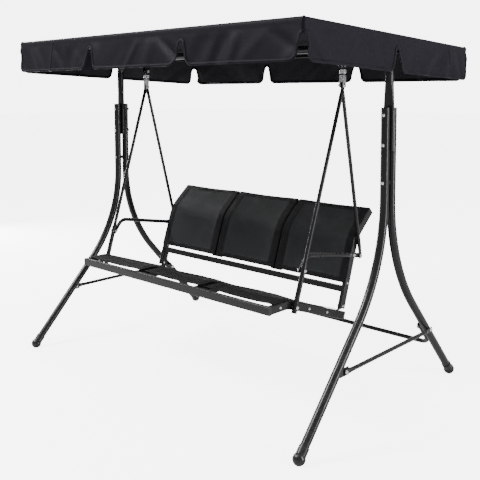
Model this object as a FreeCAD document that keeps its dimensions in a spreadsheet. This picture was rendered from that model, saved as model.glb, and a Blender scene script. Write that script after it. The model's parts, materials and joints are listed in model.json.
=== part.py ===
"""Three-seat garden glider swing with a canopy.

Millimetres, +Z up, the origin on the ground at the middle of the footprint.
X runs along the seat, with the sitter's right hand at -X, and the seat faces -Y.
"""

import FreeCAD, Part
import Sketcher
import math
import os

V = FreeCAD.Vector
DOC = FreeCAD.newDocument("glider_swing")
SHEET = DOC.addObject("Spreadsheet::Sheet", "Sizes")
ROWS = []
S = {}
NODES = []

DRIVING = [
    # stand
    ("leg_od", 34.0), ("leg_wall", 1.5), ("leg_plane", 840.0), ("leg_half_gap", 25.0),
    ("leg_top", 1212.0), ("leg_corner", 594.0), ("leg_bend", 680.0),
    ("foot_reach", 545.0), ("foot_ball_up", 20.0), ("foot_ball", 23.5),
    ("foot_collar_od", 39.0), ("foot_collar", 20.0), ("plug_fit", 0.1),
    ("beam_up", 1450.0), ("beam_od", 34.0), ("beam_bend", 70.0), ("beam_wall", 1.5),
    ("beam_flat_wide", 46.0), ("beam_flat", 165.0), ("beam_ease", 95.0),
    ("joiner_half", 90.0), ("joiner_fit", 0.25), ("joiner_wall", 2.0), ("joiner_bolt", 50.0),
    ("bolt_1", 1183.0), ("bolt_2", 1068.0), ("bolt_3", 922.0), ("frame_bolt", 8.0),
    ("hole_fit", 0.7),
    ("brace_up", 258.0), ("brace_od", 16.0), ("brace_wall", 1.2), ("brace_flat", 34.0),
    ("tab_reach", 26.0), ("tab_thick", 4.0), ("tab_tall", 30.0), ("tab_margin", 9.0),
    ("flat_wide", 21.0), ("flat_thick", 5.0), ("flat_ease", 22.0),
    ("stretcher_od", 19.0), ("stretcher_wall", 1.2), ("stretcher_bend", 45.0),
    ("stretcher_drop", 120.0), ("stretcher_tip", 26.0),
    # hooks
    ("swing_up", 1381.0), ("hook_side", 622.0), ("hook_bolt", 8.0), ("pin_fit", 0.08),
    ("bracket_gap", 14.0), ("bracket_wall", 4.0), ("bracket_wide", 26.0), ("bracket_under", 9.0),
    ("spring_od", 30.0), ("spring_wire", 4.0), ("spring_top", 1363.5), ("spring_low", 1346.0),
    ("spring_eye_low", 1331.0), ("hanger_up", 1300.0), ("link_wall", 3.0), ("link_wide", 18.0),
    ("link_gap", 2.2),
    # hangers and armrests
    ("hanger_od", 16.0), ("hanger_wall", 1.2), ("sleeve_od", 21.0), ("sleeve_fit", 0.2),
    ("arm_side_gap", 0.05), ("sleeve_end_y", -285.0), ("sleeve_end_up", 418.0),
    ("joint_up", 577.0), ("joint_lap", 45.0), ("rail_joint_up", 440.0), ("hanger_flat", 30.0),
    ("arm_od", 18.0), ("arm_wall", 1.2), ("arm_corner_y", -193.0), ("arm_corner_up", 631.0),
    ("arm_rear_y", 176.0), ("arm_rear_up", 567.0), ("arm_bend", 48.0), ("arm_flat", 26.0),
    ("arm_rear_flat", 74.0), ("arm_gap", 0.8),
    # seat frame
    ("seat_half", 583.0), ("rail_tall", 34.0), ("rail_thick", 18.0), ("rail_wall", 1.5),
    ("rail_corner", 4.0), ("seat_front", -412.0), ("seat_up", 452.0), ("seat_break", -300.0),
    ("seat_rear", 74.0), ("seat_slope", 0.346), ("seat_bend", 90.0),
    ("back_foot", 56.0), ("back_slope", 0.34), ("back_break_up", 652.0), ("back_top_y", 272.0),
    ("back_top_up", 750.0), ("back_bend", 150.0), ("back_low_up", 433.0), ("cross_od", 18.0),
    ("mid_side", 194.0), ("mid_half_gap", 27.0), ("mid_tall", 28.0), ("mid_thick", 18.0),
    ("back_half_gap", 15.5), ("rail_bolt", 6.0), ("rail_bolt_1", -350.0), ("rail_bolt_2", -250.0),
    ("rail_bolt_3", -170.0), ("rail_bolt_4", -50.0), ("tube_bolt_1", 366.0), ("tube_bolt_2", 459.0),
    ("plate_thick", 3.0),
    # fabric
    ("sling_thick", 2.5), ("sling_gap", 0.6), ("sling_lap", 8.0), ("seat_slot", 16.0),
    ("back_slot", 9.0),
    # canopy
    ("roof_half", 876.0), ("roof_front", 577.0), ("roof_rear", 580.5), ("roof_tilt", 2.3),
    ("roof_rail_od", 16.0), ("roof_rail_wall", 1.2), ("roof_rail_up", 30.0),
    ("roof_thick", 2.5), ("roof_gap", 1.0), ("valance_drop", 143.0), ("valance_thick", 2.5),
    ("notch_wide", 72.0), ("notch_deep", 100.0), ("corner_block", 34.0),
    ("arm_side", 700.0), ("collar_wide", 26.0), ("collar_wall", 4.5), ("collar_fit", 0.3),
    ("knob_od", 38.0), ("knob_long", 18.0), ("knob_stem", 8.0), ("knob_out", 30.0),
    ("saddle_deep", 44.0), ("boss_od", 20.0), ("seat_fit", 0.05),
]


def cell(alias, value):
    """Adds a named number to the sheet and gives the name back."""
    ROWS.append(alias)
    S[alias] = float(value)
    spot = "B%d" % len(ROWS)
    SHEET.set("A%d" % len(ROWS), alias)
    SHEET.set(spot, "%.6f" % value)
    SHEET.setAlias(spot, alias)
    return alias


for name, number in DRIVING:
    cell(name, number)
cell("beam_flat_thick", 2 * S["leg_half_gap"] - S["leg_od"])
cell("sleeve_wall", (S["sleeve_od"] - S["hanger_od"]) / 2 - S["sleeve_fit"])
DOC.recompute()


def bind(thing, what, formula):
    thing.setExpression(what, formula)


def keep(thing, label):
    """Marks a finished piece: its label names its file."""
    thing.Label = label
    NODES.append(thing)
    return thing


def solid(label, shape, placement=None):
    """A piece whose shape needs Part's own functions."""
    feature = DOC.addObject("Part::Feature", "made_" + label)
    feature.Shape = shape
    if placement is not None:
        feature.Placement = placement
    return feature


# ---------------------------------------------------------------- sketches


def plane(body, role):
    return [face for face in body.Origin.OriginFeatures if face.Role == role][0]


def sketch_on(body, name, role, offset=None):
    sketch = body.newObject("Sketcher::SketchObject", body.Name + "_" + name)
    sketch.AttachmentSupport = [(plane(body, role), "")]
    sketch.MapMode = "FlatFace"
    if offset is not None:
        sketch.AttachmentOffset = offset
    return sketch


def rule(sketch, formula, *words):
    """A dimension of a sketch, bound to the sheet."""
    number = sketch.addConstraint(Sketcher.Constraint(*words))
    sketch.setExpression("Constraints[%d]" % number, formula)


def draw_circle(sketch, across, formula):
    ring = sketch.addGeometry(Part.Circle(V(0, 0, 0), V(0, 0, 1), across / 2), False)
    sketch.addConstraint(Sketcher.Constraint("Coincident", ring, 3, -1, 1))
    rule(sketch, formula, "Diameter", ring, across)


def draw_loop(sketch, wide, tall, round_, wide_rule, tall_rule, round_rule):
    """A rectangle with rounded corners, centred, wide along x and tall along y."""
    a, b, r = wide / 2, tall / 2, round_
    lines = [
        (V(-a, b - r, 0), V(-a, r - b, 0)), (V(r - a, -b, 0), V(a - r, -b, 0)),
        (V(a, r - b, 0), V(a, b - r, 0)), (V(a - r, b, 0), V(r - a, b, 0)),
    ]
    centres = [V(r - a, r - b, 0), V(a - r, r - b, 0), V(a - r, b - r, 0), V(r - a, b - r, 0)]
    sides, arcs = [], []
    for k in range(4):
        sides.append(sketch.addGeometry(Part.LineSegment(*lines[k]), False))
        turn = math.pi * (1 + k / 2)
        arc = Part.ArcOfCircle(Part.Circle(centres[k], V(0, 0, 1), r), turn, turn + math.pi / 2)
        arcs.append(sketch.addGeometry(arc, False))
    for k in range(4):
        sketch.addConstraint(Sketcher.Constraint("Tangent", sides[k], 2, arcs[k], 1))
        sketch.addConstraint(Sketcher.Constraint("Tangent", arcs[k], 2, sides[(k + 1) % 4], 1))
        sketch.addConstraint(Sketcher.Constraint("Vertical" if k % 2 == 0 else "Horizontal", sides[k]))
    for k in (1, 2):
        sketch.addConstraint(Sketcher.Constraint("Equal", arcs[0], arcs[k]))
    sketch.addConstraint(Sketcher.Constraint("Symmetric", sides[0], 1, sides[2], 1, -1, 1))
    rule(sketch, wide_rule, "DistanceX", sides[0], 1, sides[2], 1, wide)
    rule(sketch, tall_rule, "DistanceY", sides[1], 1, sides[3], 1, tall)
    rule(sketch, round_rule, "Radius", arcs[0], r)


class Ring:
    """A round tube's section, named by its diameter and wall in the sheet."""

    def __init__(self, across, wall=None):
        self.across, self.wall = across, wall

    def draw(self, sketch):
        size = S[self.across]
        draw_circle(sketch, size, "Sizes." + self.across)
        if self.wall:
            inner = "Sizes.%s - 2 * Sizes.%s" % (self.across, self.wall)
            draw_circle(sketch, size - 2 * S[self.wall], inner)


class Box:
    """A rectangular tube's section: thick along x, tall along y."""

    def __init__(self, thick, tall, wall=None, round_="rail_corner"):
        self.names = (thick, tall, wall, round_)

    def draw(self, sketch):
        thick, tall, wall, round_ = self.names
        names = ["Sizes." + thick, "Sizes." + tall, "Sizes." + round_]
        draw_loop(sketch, S[thick], S[tall], S[round_], *names)
        if wall:
            t = S[wall]
            cut = " - 2 * Sizes." + wall
            inner = (S[thick] - 2 * t, S[tall] - 2 * t, S[round_] - t)
            rules = (names[0] + cut, names[1] + cut, names[2] + " - Sizes." + wall)
            draw_loop(sketch, *inner, *rules)


# ---------------------------------------------------------------- tubes


def frame_at(start, ahead, normal):
    """The placement whose z runs ahead and whose x is the normal of the bend's plane."""
    z = V(ahead).normalize()
    x = V(normal)
    x = (x - z * x.dot(z)).normalize()
    return FreeCAD.Placement(start, FreeCAD.Rotation(x, z.cross(x), z, "ZXY"))


def tube(label, section, points, normal, bend=None, flat=None):
    """A tube bent in one plane. The first point is where its section starts, and the
    bends are arcs of one radius. flat gives the squashed ends: each end's length, then
    the taper's length and the tongue's width and thickness."""
    body = DOC.addObject("PartDesign::Body", label)
    place = frame_at(points[0], points[1] - points[0], normal)
    back = place.inverse()
    flatten, flat_ease, flat_wide, flat_thick = flat or ({}, None, None, None)
    local = [back.multVec(p) for p in points]
    line = [V(p.y, p.z, 0) for p in local]
    ends = {}
    gone = {end: S[long_] + S[flat_ease] for end, long_ in flatten.items()}
    first = (line[1] - line[0]).normalize()
    last = (line[-1] - line[-2]).normalize()
    turned = math.degrees(math.atan2(last.x, last.y))
    if "start" in flatten:
        ends["start"] = FreeCAD.Placement(V(0, line[0].x, line[0].y), FreeCAD.Rotation())
        line[0] = line[0] + first * gone["start"]
    if "end" in flatten:
        lean = FreeCAD.Rotation(V(1, 0, 0), 180 - turned)
        ends["end"] = FreeCAD.Placement(V(0, line[-1].x, line[-1].y), lean)
        line[-1] = line[-1] - last * gone["end"]
    profile = sketch_on(body, "section", "XY_Plane", FreeCAD.Placement(V(0, 0, line[0].y), FreeCAD.Rotation()))
    section.draw(profile)
    path = sketch_on(body, "path", "YZ_Plane")
    draw_path(path, label, line, bend)
    path.recompute()
    pipe = body.newObject("PartDesign::AdditivePipe", label + "_pipe")
    pipe.Profile = profile
    pipe.Spine = (path, ["Edge%d" % (k + 1) for k in range(2 * len(line) - 3)])
    for end, where in ends.items():
        flatten_end(body, label + "_" + end, section, where, flatten[end], flat_ease, flat_wide, flat_thick)
    body.Placement = place
    return body


def draw_path(sketch, label, line, bend):
    """Straight runs joined by tangent arcs, each length, radius and angle from the sheet."""
    radius = S[bend] if bend else 0
    spots, arcs = [line[0]], []
    for k in range(1, len(line) - 1):
        before = (line[k] - line[k - 1]).normalize()
        after = (line[k + 1] - line[k]).normalize()
        half = before.getAngle(after) / 2
        reach = radius * math.tan(half)
        bulge = radius / math.cos(half) - radius
        start, stop = line[k] - before * reach, line[k] + after * reach
        middle = line[k] + (after - before).normalize() * bulge
        spots += [start, stop]
        arcs.append(Part.Arc(start, middle, stop))
    spots.append(line[-1])
    order = []
    for k in range(len(line) - 1):
        run = sketch.addGeometry(Part.LineSegment(spots[2 * k], spots[2 * k + 1]), False)
        order.append(run)
        if k < len(arcs):
            order.append(sketch.addGeometry(arcs[k], False))
    for k in range(len(order) - 1):
        meets = spots[k + 1]
        ends = []
        for piece in order[k:k + 2]:
            near = 1 if sketch.getPoint(piece, 1).distanceToPoint(meets) < 0.001 else 2
            ends += [piece, near]
        sketch.addConstraint(Sketcher.Constraint("Tangent", *ends))
    for k, piece in enumerate(order):
        if k % 2:
            rule(sketch, "Sizes." + bend, "Radius", piece, radius)
            continue
        run = spots[k + 1] - spots[k]
        long_ = cell("%s_run%d" % (label, k // 2 + 1), run.Length)
        angle = cell("%s_way%d" % (label, k // 2 + 1), math.degrees(math.atan2(run.y, run.x)))
        SHEET.recompute()
        rule(sketch, "Sizes." + long_, "Distance", piece, run.Length)
        rule(sketch, "Sizes.%s * 1 deg" % angle, "Angle", piece, math.atan2(run.y, run.x))


def draw_four(sketch, wide, thick, wide_rule, thick_rule):
    """A flattened tube's outline in four edges; wide equal to thick gives a round one."""
    r = thick / 2
    rise = wide / 2 - r
    gap = r * math.sin(math.pi / 4)
    if rise < 0.001:
        marks = [V(-gap, -gap, 0), V(-gap, gap, 0), V(gap, gap, 0), V(gap, -gap, 0)]
        mids = [V(-r, 0, 0), V(0, r, 0), V(r, 0, 0), V(0, -r, 0)]
        parts = [Part.Arc(marks[k], mids[k], marks[(k + 1) % 4]) for k in range(4)]
        rules = [("Radius", k) for k in range(4)]
    else:
        marks = [V(-r, -rise, 0), V(-r, rise, 0), V(r, rise, 0), V(r, -rise, 0)]
        top = Part.Arc(marks[1], V(0, rise + r, 0), marks[2])
        low = Part.Arc(marks[3], V(0, -rise - r, 0), marks[0])
        parts = [Part.LineSegment(marks[0], marks[1]), top, Part.LineSegment(marks[2], marks[3]), low]
        rules = [("Radius", 1), ("Radius", 3)]
    made = [sketch.addGeometry(part, False) for part in parts]
    for k in range(4):
        ends = []
        for piece in (made[k], made[(k + 1) % 4]):
            near = 1 if sketch.getPoint(piece, 1).distanceToPoint(marks[(k + 1) % 4]) < 0.001 else 2
            ends += [piece, near]
        sketch.addConstraint(Sketcher.Constraint("Coincident", *ends))
    for word, k in rules:
        rule(sketch, thick_rule + " / 2", word, made[k], r)
    if rise >= 0.001:
        rule(sketch, "%s - %s" % (wide_rule, thick_rule), "Distance", made[0], 2 * rise)


def flatten_end(body, label, section, where, flat_long, flat_ease, flat_wide, flat_thick):
    """Squashes a tube's end: a flat tongue, then a taper up to the round."""
    along = where.Rotation.multVec(V(0, 0, 1))
    flat_rules = ("Sizes." + flat_wide, "Sizes." + flat_thick)
    tongue = sketch_on(body, label + "_tongue", "XY_Plane", where)
    draw_four(tongue, S[flat_wide], S[flat_thick], *flat_rules)
    tongue.recompute()
    pad = body.newObject("PartDesign::Pad", label + "_flat")
    pad.Profile = tongue
    bind(pad, "Length", "Sizes." + flat_long)
    low = FreeCAD.Placement(where.Base + along * S[flat_long], where.Rotation)
    high = FreeCAD.Placement(low.Base + along * S[flat_ease], where.Rotation)
    narrow = sketch_on(body, label + "_narrow", "XY_Plane", low)
    draw_four(narrow, S[flat_wide], S[flat_thick], *flat_rules)
    full = sketch_on(body, label + "_full", "XY_Plane", high)
    across = "Sizes." + section.across
    draw_four(full, S[section.across], S[section.across], across, across)
    loft = body.newObject("PartDesign::AdditiveLoft", label + "_ease")
    loft.Profile = narrow
    loft.Sections = [full]
    loft.Ruled = True


def rod(label, centre, axis, across, long_):
    """A plain cylinder for drilling, centred on a point."""
    peg = DOC.addObject("Part::Cylinder", label)
    bind(peg, "Radius", "(Sizes.%s + 2 * Sizes.hole_fit) / 2" % across)
    peg.Height = long_
    turn = FreeCAD.Rotation(V(0, 0, 1), axis)
    peg.Placement = FreeCAD.Placement(centre - V(axis).normalize() * (long_ / 2), turn)
    return peg


def drilled(label, blank, holes):
    """Cuts bolt holes through a tube: each is (centre, axis, bolt size, length)."""
    blank.Label = label + "_blank"
    pegs = [rod("%s_drill%d" % (label, k), *hole) for k, hole in enumerate(holes)]
    done = blank
    for k, peg in enumerate(pegs):
        cut = DOC.addObject("Part::Cut", "%s_cut%d" % (label, k))
        cut.Base, cut.Tool = done, peg
        done = cut
    return keep(done, label)


# Shares of a bolt's diameter: half its head's or nut's width, their heights, the free thread.
HEAD_HALF, HEAD_TALL, NUT_TALL, THREAD_OUT = 0.92, 0.5, 0.8, 1.2


def bolt(centre, axis, grip, across, nut=True):
    """A dome-head bolt with its nut. The grip is what it holds, centred on a point."""
    d = S[across]
    axis = V(axis).normalize()
    head = centre + axis * (grip / 2)
    tail = centre - axis * (grip / 2)
    dome = Part.makeCone(HEAD_HALF * d, d / 2, HEAD_TALL * d, head, axis)
    shank = Part.makeCylinder(d / 2, grip + THREAD_OUT * d, tail - axis * (THREAD_OUT * d), axis)
    shape = dome.fuse(shank)
    if nut:
        turns = [k * math.pi / 3 for k in range(7)]
        ring = [V(math.cos(turn), math.sin(turn), 0) * (HEAD_HALF * d) for turn in turns]
        hexagon = Part.Face(Part.makePolygon(ring)).extrude(V(0, 0, NUT_TALL * d))
        hexagon.Placement = FreeCAD.Placement(tail, FreeCAD.Rotation(V(0, 0, 1), -axis))
        shape = shape.fuse(hexagon)
    return shape.removeSplitter()


def together(label, shapes):
    """Like pieces that share one node, each a separate solid."""
    return keep(solid(label, Part.makeCompound(shapes)), label)


# ---------------------------------------------------------------- stand

X, Y, Z = V(1, 0, 0), V(0, 1, 0), V(0, 0, 1)
SIDES = (("left", -1), ("right", 1))
LEG_WAY = V(0, S["foot_reach"] - S["leg_half_gap"], S["foot_ball_up"] - S["leg_corner"]).normalize()


def leg_at(height):
    """How far a splayed leg's centre line stands from the middle at a height."""
    return S["leg_half_gap"] + (S["leg_corner"] - height) * LEG_WAY.y / -LEG_WAY.z


def legs():
    """Four bent legs. Each pair stands back to back at the top and splays below."""
    for side, sx in SIDES:
        x = sx * S["leg_plane"]
        for end, sy in (("front", -1), ("rear", 1)):
            label = "leg_%s_%s" % (end, side)
            foot = V(x, sy * S["foot_reach"], S["foot_ball_up"])
            points = [
                V(x, sy * S["leg_half_gap"], S["leg_top"]),
                V(x, sy * S["leg_half_gap"], S["leg_corner"]),
                foot,
            ]
            blank = tube(label, Ring("leg_od", "leg_wall"), points, X, bend="leg_bend")
            spots = [V(x, sy * S["leg_half_gap"], S[b]) for b in ("bolt_1", "bolt_2", "bolt_3")]
            holes = [(spot, Y, "frame_bolt", 60) for spot in spots]
            if end == "rear":
                holes.append((V(x, leg_at(S["brace_up"]), S["brace_up"]), X, "frame_bolt", 60))
            drilled(label, blank, holes)


def foot_caps():
    """A moulded ball foot on each leg: a collar over the tube, flat where it stands."""
    caps = []
    for sx in (-1, 1):
        for sy in (-1, 1):
            centre = V(sx * S["leg_plane"], sy * S["foot_reach"], S["foot_ball_up"])
            up = V(0, -sy * LEG_WAY.y, -LEG_WAY.z)
            ball = Part.makeSphere(S["foot_ball"], centre)
            collar = Part.makeCylinder(S["foot_collar_od"] / 2, S["foot_ball"] + S["foot_collar"], centre, up)
            bore = Part.makeCylinder(S["leg_od"] / 2 + S["plug_fit"], 200, centre, up)
            ground = Part.makeBox(200, 200, 100, centre - V(100, 100, 100 + S["foot_ball_up"]))
            caps.append(ball.fuse(collar).cut(bore).cut(ground).removeSplitter())
    return together("foot_caps", caps)


def brace_x(sx):
    """The middle of a brace's flat end, against the outer face of its rear leg."""
    return sx * (S["leg_plane"] + (S["leg_od"] + S["flat_thick"]) / 2)


def tab_y():
    return leg_at(S["brace_up"]) - S["leg_od"] / 2 - S["tab_reach"] + S["flat_wide"] / 2


def side_braces():
    """A tube with squashed ends ties each front leg to its rear leg."""
    flat = ({"start": "brace_flat", "end": "brace_flat"}, "flat_ease", "flat_wide", "flat_thick")
    over = S["flat_wide"] / 2
    for side, sx in SIDES:
        label = "side_brace_" + side
        x = brace_x(sx)
        front = V(x, -tab_y() - over, S["brace_up"])
        rear = V(x, leg_at(S["brace_up"]) + over, S["brace_up"])
        blank = tube(label, Ring("brace_od", "brace_wall"), [front, rear], X, flat=flat)
        holes = [(V(x, y, S["brace_up"]), X, "frame_bolt", 30) for y in (-tab_y(), leg_at(S["brace_up"]))]
        drilled(label, blank, holes)


def brace_tabs():
    """A small plate welded behind each front leg, which the brace bolts to."""
    tabs = []
    thick, tall = S["tab_thick"], S["tab_tall"]
    for side, sx in SIDES:
        outer = sx * (S["leg_plane"] + S["leg_od"] / 2)
        low = min(outer, outer - sx * thick)
        y = -leg_at(S["brace_up"])
        deep = S["leg_od"] / 2 + S["tab_reach"] + S["tab_margin"]
        plate = Part.makeBox(thick, deep, tall, V(low, y, S["brace_up"] - tall / 2))
        start = V(sx * S["leg_plane"], -S["foot_reach"], S["foot_ball_up"])
        tube_ = Part.makeCylinder(S["leg_od"] / 2, 700, start, V(0, LEG_WAY.y, -LEG_WAY.z))
        spot = V(low - 30, -tab_y(), S["brace_up"])
        hole = Part.makeCylinder(S["frame_bolt"] / 2 + S["hole_fit"], 60, spot, X)
        pieces = plate.cut(tube_).cut(hole).Solids
        tabs.append(max(pieces, key=lambda piece: piece.BoundBox.YMax))
    return together("brace_tabs", tabs)


def rear_stretcher():
    """One tube between the rear legs. Its turned-up ends lie along their inner faces."""
    x = S["leg_plane"] - (S["leg_od"] + S["stretcher_od"]) / 2
    bolt_at = V(0, leg_at(S["brace_up"]), S["brace_up"])
    tip = bolt_at - LEG_WAY * S["stretcher_tip"]
    low = bolt_at + LEG_WAY * S["stretcher_drop"]
    points = [tip + X * -x, low + X * -x, low + X * x, tip + X * x]
    normal = LEG_WAY.cross(X)
    section = Ring("stretcher_od", "stretcher_wall")
    blank = tube("rear_stretcher", section, points, normal, bend="stretcher_bend")
    holes = [(bolt_at + X * sx * x, X, "frame_bolt", 30) for sx in (-1, 1)]
    return drilled("rear_stretcher", blank, holes)


def top_beam():
    """The beam in two halves, joined in the middle. Each outer end turns down and is
    squashed, and the flat goes between its pair of legs."""
    flat = ({"start": "beam_flat"}, "beam_ease", "beam_flat_wide", "beam_flat_thick")
    for side, sx in SIDES:
        label = "top_beam_" + side
        x = sx * S["leg_plane"]
        points = [V(x, 0, S["leg_top"] - S["beam_flat"]), V(x, 0, S["beam_up"]), V(0, 0, S["beam_up"])]
        blank = tube(label, Ring("beam_od", "beam_wall"), points, Y * -sx, bend="beam_bend", flat=flat)
        holes = [(V(x, 0, S[b]), Y, "frame_bolt", 60) for b in ("bolt_1", "bolt_2")]
        holes.append((V(sx * S["joiner_bolt"], 0, S["beam_up"]), Z, "frame_bolt", 60))
        drilled(label, blank, holes)


def beam_joiner():
    """The tube inside the beam that holds its two halves in line."""
    r = S["beam_od"] / 2 - S["beam_wall"] - S["joiner_fit"]
    start = V(-S["joiner_half"], 0, S["beam_up"])
    shape = Part.makeCylinder(r, 2 * S["joiner_half"], start, X)
    shape = shape.cut(Part.makeCylinder(r - S["joiner_wall"], 2 * S["joiner_half"], start, X))
    for sx in (-1, 1):
        spot = V(sx * S["joiner_bolt"], 0, S["beam_up"] - 30)
        shape = shape.cut(Part.makeCylinder(S["frame_bolt"] / 2 + S["hole_fit"], 60, spot, Z))
    return keep(solid("beam_joiner", shape), "beam_joiner")


def frame_bolts():
    """The stand's own bolts: the leg tops, the beam's joint, the braces and stretcher."""
    made = []
    for sx in (-1, 1):
        x = sx * S["leg_plane"]
        for b in ("bolt_1", "bolt_2", "bolt_3"):
            made.append(bolt(V(x, 0, S[b]), -Y, 2 * S["leg_half_gap"] + S["leg_od"], "frame_bolt"))
        made.append(bolt(V(sx * S["joiner_bolt"], 0, S["beam_up"]), -Z, S["beam_od"], "frame_bolt"))
        inner = S["leg_plane"] - S["leg_od"] / 2 - S["stretcher_od"]
        outer = S["leg_plane"] + S["leg_od"] / 2 + S["flat_thick"]
        rear = V(sx * (inner + outer) / 2, leg_at(S["brace_up"]), S["brace_up"])
        made.append(bolt(rear, X * sx, outer - inner, "frame_bolt"))
        grip = S["tab_thick"] + S["flat_thick"]
        front = V(sx * (outer - grip / 2), -tab_y(), S["brace_up"])
        made.append(bolt(front, X * sx, grip, "frame_bolt"))
    return together("frame_bolts", made)


def leg_spacers():
    """A short tube between each pair of legs at the lowest of their bolts."""
    made = []
    for sx in (-1, 1):
        long_ = 2 * S["leg_half_gap"] - S["leg_od"]
        start = V(sx * S["leg_plane"], -long_ / 2, S["bolt_3"])
        outer = Part.makeCylinder(S["frame_bolt"], long_, start, Y)
        made.append(outer.cut(Part.makeCylinder(S["frame_bolt"] / 2 + S["hole_fit"], long_, start, Y)))
    return together("leg_spacers", made)


def hanger_brackets():
    """A folded strap welded under the beam at each end, with a bolt across it."""
    gap, wall, wide = S["bracket_gap"], S["bracket_wall"], S["bracket_wide"]
    for side, sx in SIDES:
        x = sx * S["hook_side"]
        top = S["beam_up"]
        low = S["swing_up"] - S["bracket_under"]
        outer = Part.makeBox(gap + 2 * wall, wide, top - low, V(x - gap / 2 - wall, -wide / 2, low))
        inner_top = S["beam_up"] - S["beam_od"] / 2 - wall
        inner = Part.makeBox(gap, wide, inner_top - low, V(x - gap / 2, -wide / 2, low))
        beam = Part.makeCylinder(S["beam_od"] / 2, 200, V(x - 100, 0, S["beam_up"]), X)
        hole = Part.makeCylinder(S["hook_bolt"] / 2 + S["hole_fit"], 80, V(x - 40, 0, S["swing_up"]), X)
        label = "hanger_bracket_" + side
        shape = outer.cut(inner).cut(beam).cut(hole)
        keep(solid(label, max(shape.Solids, key=lambda piece: piece.Volume)), label)
    grip = gap + 2 * wall
    made = [bolt(V(sx * S["hook_side"], 0, S["swing_up"]), X * sx, grip, "hook_bolt") for sx in (-1, 1)]
    return together("bracket_bolts", made)


# ---------------------------------------------------------------- hooks


def springs():
    """A stout coil spring under each bracket: an eye on the bolt, the coil, a lower eye."""
    wire = S["spring_wire"]
    for side, sx in SIDES:
        x = sx * S["hook_side"]
        r = S["spring_od"] / 2
        tall = S["spring_top"] - S["spring_low"]
        coil = Part.makeCylinder(r, tall, V(x, 0, S["spring_low"])).cut(
            Part.makeCylinder(r - wire, tall, V(x, 0, S["spring_low"])))
        bore = S["hook_bolt"] / 2 + S["pin_fit"]
        eye = Part.makeCylinder(bore + wire, wire, V(x - wire / 2, 0, S["swing_up"]), X)
        bar_up = S["spring_top"] - wire
        bar = Part.makeBox(wire, 2 * r - wire, wire, V(x - wire / 2, -r + wire / 2, bar_up))
        neck = Part.makeBox(wire, wire, S["swing_up"] - bar_up, V(x - wire / 2, -wire / 2, bar_up))
        pin = Part.makeCylinder(bore, 40, V(x - 20, 0, S["swing_up"]), X)
        hub = eye.fuse(bar).fuse(neck).cut(pin)
        low = S["spring_low"]
        hoop = Part.makeTorus(low - S["spring_eye_low"] - wire / 2 + 2, wire / 2, V(x, 0, low - 1), X)
        lower = hoop.common(Part.makeBox(60, 60, 60, V(x - 30, -30, low - 60)))
        rest = Part.makeBox(wire, 2 * r - wire, wire, V(x - wire / 2, -r + wire / 2, low))
        shape = coil.fuse(hub).fuse(lower).fuse(rest).removeSplitter()
        label = "spring_" + side
        keep(solid(label, shape), label)


# ---------------------------------------------------------------- seat

HANG = V(0, 0, S["hanger_up"])
SLEEVE_END = V(0, S["sleeve_end_y"], S["sleeve_end_up"])


def hook_step():
    """How far each hanger's flat end stands to its own side of the hook."""
    return (S["flat_thick"] + S["link_gap"]) / 2


def arm_x(sx):
    """The middle of an armrest's flat ends, which lie on the outside of the back's tubes."""
    return sx * (S["seat_half"] + (S["rail_thick"] + S["flat_thick"]) / 2 + S["arm_side_gap"])


def hanger_point(sx, height):
    """A point on a front hanger's centre line, from the hook, past the armrest's outer face."""
    fall = S["hanger_up"] - height
    top = S["hook_side"] + hook_step()
    joint = abs(arm_x(sx)) + (S["sleeve_od"] + S["flat_thick"]) / 2 + S["arm_gap"]
    x = top + fall / (S["hanger_up"] - S["joint_up"]) * (joint - top)
    return V(sx * x, fall / (S["hanger_up"] - S["sleeve_end_up"]) * S["sleeve_end_y"], height)


def hanger_links():
    """A bent strap from each spring's lower eye to the bolt through both hangers."""
    made = []
    inner = S["flat_thick"] + S["link_gap"]
    for sx in (-1, 1):
        x = sx * S["hook_side"]
        wall, wide = S["link_wall"], S["link_wide"]
        top = S["spring_eye_low"] + S["spring_wire"] + wall + S["link_gap"]
        low = S["hanger_up"] - wide / 2
        outer = Part.makeBox(2 * (inner + wall), wide, top - low, V(x - inner - wall, -wide / 2, low))
        room = Part.makeBox(2 * inner, wide, top - low - wall, V(x - inner, -wide / 2, low))
        hole = Part.makeCylinder(S["hook_bolt"] / 2 + S["hole_fit"], 60, V(x - 30, 0, S["hanger_up"]), X)
        shape = outer.cut(room).cut(hole)
        made.append(shape)
    return together("hanger_links", made)


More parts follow.
